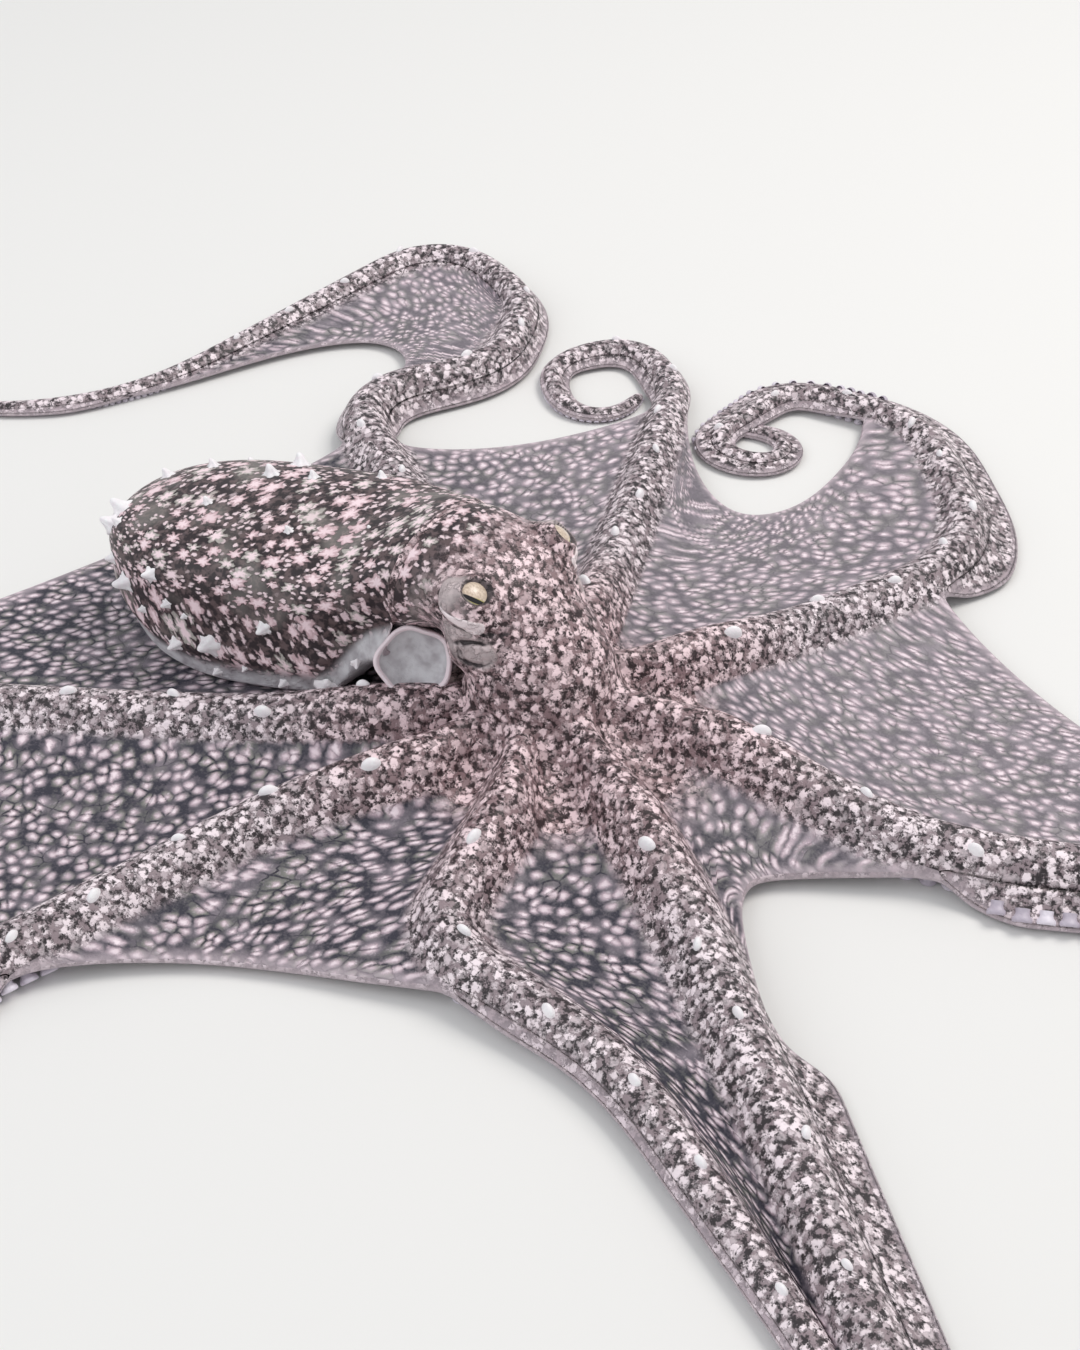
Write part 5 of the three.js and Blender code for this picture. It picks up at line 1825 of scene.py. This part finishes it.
def make_papilla_material():
    """Chalky white points with faint pink flecks."""
    material, shader, place = new_material("octopus_papillae")
    flecked = place.noise(0.8, 3.0, 0.6).step(0.35, 0.75)
    colour = flecked.colour(*PAPILLA_TONES)
    finish_material(shader, colour, 0.42 + 0.2 * place.noise(1.0), place.noise(0.6, 3.0), 0.08, coat=0.1)
    return material


# %% The eye's material
SLIT_HALF = (2.1, 0.42)        # half length and half height of the pupil
SLIT_AHEAD = 1.05
SLIT_BELOW = 0.15
SLIT_BENDS = 0.06
EYE_UPPER = ((0.54, 0.41, 0.31, 1), (0.84, 0.69, 0.55, 1))
EYE_LOWER = ((0.24, 0.20, 0.19, 1), (0.42, 0.37, 0.35, 1))
EYE_GOLD = (0.52, 0.46, 0.16, 1)
EYE_BLACK = (0.004, 0.003, 0.004, 1)
# dark brown of the painted shade at the eyeball's edge, under the lids
EYE_PAINTED_RIM_SHADE = (0.10, 0.075, 0.07, 1)


def make_eye_material(eye):
    material, shader, place = new_material(eye.name + "_surface")
    away = place.vector("SUBTRACT", tuple(eye.centre))
    x, y = away.along(tuple(eye.slit)), away.along(tuple(eye.up))
    x = x - SLIT_AHEAD
    bend = y - SLIT_BENDS * x * x + SLIT_BELOW
    rays = away.vector("MULTIPLY", (2.0, 2.0, 2.0)).noise(0.9, 4.0, 0.65)
    upper, lower = (rays.step(0.3, 0.7).colour(*tones) for tones in (EYE_UPPER, EYE_LOWER))
    colour = bend.step(-0.2, 0.5).colour(lower, upper)
    oval = ((x / SLIT_HALF[0]) * (x / SLIT_HALF[0])
            + (bend / SLIT_HALF[1]) * (bend / SLIT_HALF[1]))
    gold = oval.step(2.6, 1.4) * (x - bend).step(-1.2, 0.6)
    colour = gold.colour(colour, EYE_GOLD)
    colour = oval.step(1.35, 0.95).colour(colour, EYE_BLACK)
    # painted shade: the eyeball darkens towards the lids' edge
    rim = (x * x + (y - 1.0) * (y - 1.0)).step(5.5, 9.0)
    colour = (0.6 * rim).colour(colour, EYE_PAINTED_RIM_SHADE)
    finish_material(shader, colour, 0.12 + 0.1 * rays, rays, 0.03, coat=0.8)
    return material


# %% Dress the pieces
def face_marks(mesh, name):
    """The least and the most of a mark on each triangle."""
    values = np.empty(len(mesh.loops), np.float32)
    mesh.attributes[name].data.foreach_get("value", values)
    return values.reshape(-1, 3).min(1), values.reshape(-1, 3).max(1)


SKIN_MATERIALS = (("skin_arms", {"mottle"}), ("skin_webs", {"mottle", "web"}),
                  ("skin_mantle", {"stars"}), ("skin_head", {"mottle", "stars", "eyes"}))
ARMS_SLOT, WEBS_SLOT, MANTLE_SLOT, HEAD_SLOT = range(4)
ALL_STARRED = 0.999
LEAST_MARK = 0.005


def share_out(mesh):
    """Gives each face the material that holds just the patterns it shows."""
    corners = np.empty(len(mesh.loops), np.int32)
    mesh.loops.foreach_get("vertex_index", corners)
    at_eyes = (pale + dark_folds_and_lid_shadow + chalk)[corners].reshape(-1, 3).max(1) > LEAST_MARK
    slots = np.where(face_marks(mesh, "web")[1] > 0, WEBS_SLOT, ARMS_SLOT)
    least, most = face_marks(mesh, "mantle")
    slots = np.where(least > ALL_STARRED, MANTLE_SLOT, slots)
    slots = np.where(at_eyes | ((most > 0) & (least <= ALL_STARRED)), HEAD_SLOT, slots)
    mesh.polygons.foreach_set("material_index", slots.astype(np.int32))
    return np.bincount(slots)


for name, shows in SKIN_MATERIALS:
    skin.data.materials.append(make_skin_material(name, shows))
print("faces with each material:", share_out(skin.data))
suckers.data.materials.append(make_sucker_material())
papillae_piece.data.materials.append(make_papilla_material())
for ball, eye in zip(balls, EYES):
    ball.data.materials.append(make_eye_material(eye))
print("materials:", [m.name for m in bpy.data.materials])

# %% [markdown]
# ## Floor and lights
# A plain pale floor carries the animal and its shadow. Two large soft lamps and an even sky
# light it: a slightly warm key from its left front, and a cooler fill from its right rear.

# %% Floor and lights
FLOOR_SIZE = 6.0               # metres
FLOOR_COLOUR = (0.86, 0.85, 0.83, 1)
FLOOR_ROUGHNESS = 0.9
SKY_COLOUR = (0.95, 0.97, 1.0, 1)
SKY_STRENGTH = 0.58
LAMPS = (("key", (0.35, 0.45, 0.9), 0.6, 5.2, (1.0, 0.97, 0.93)),     # place, size, watts, colour
         ("fill", (-0.6, -0.6, 0.8), 1.0, 3.2, (0.93, 0.96, 1.0)))


def make_floor():
    bpy.ops.mesh.primitive_plane_add(size=FLOOR_SIZE)
    floor = bpy.context.object
    floor.name = "floor"
    material = bpy.data.materials.new("floor")
    material.use_nodes = True
    shader = material.node_tree.nodes["Principled BSDF"]
    shader.inputs["Base Color"].default_value = FLOOR_COLOUR
    shader.inputs["Roughness"].default_value = FLOOR_ROUGHNESS
    floor.data.materials.append(material)


def area_lamp(name, place, size, power, colour):
    """A round soft lamp that shines on the middle of the floor."""
    data = bpy.data.lights.new(name, "AREA")
    data.shape, data.size, data.energy, data.color = "DISK", size, power, colour
    lamp = add_object(name, data)
    lamp.location = place
    x, y, z = -np.array(place)
    lamp.rotation_euler = (math.atan2(math.hypot(x, y), -z), 0, math.atan2(x, -y) + math.pi)


make_floor()
for lamp in LAMPS:
    area_lamp(*lamp)
world = bpy.data.worlds.new("world")
world.use_nodes = True
sky = world.node_tree.nodes["Background"]
sky.inputs["Color"].default_value = SKY_COLOUR
sky.inputs["Strength"].default_value = SKY_STRENGTH
bpy.context.scene.world = world
bpy.context.scene.view_settings.view_transform = "Standard"
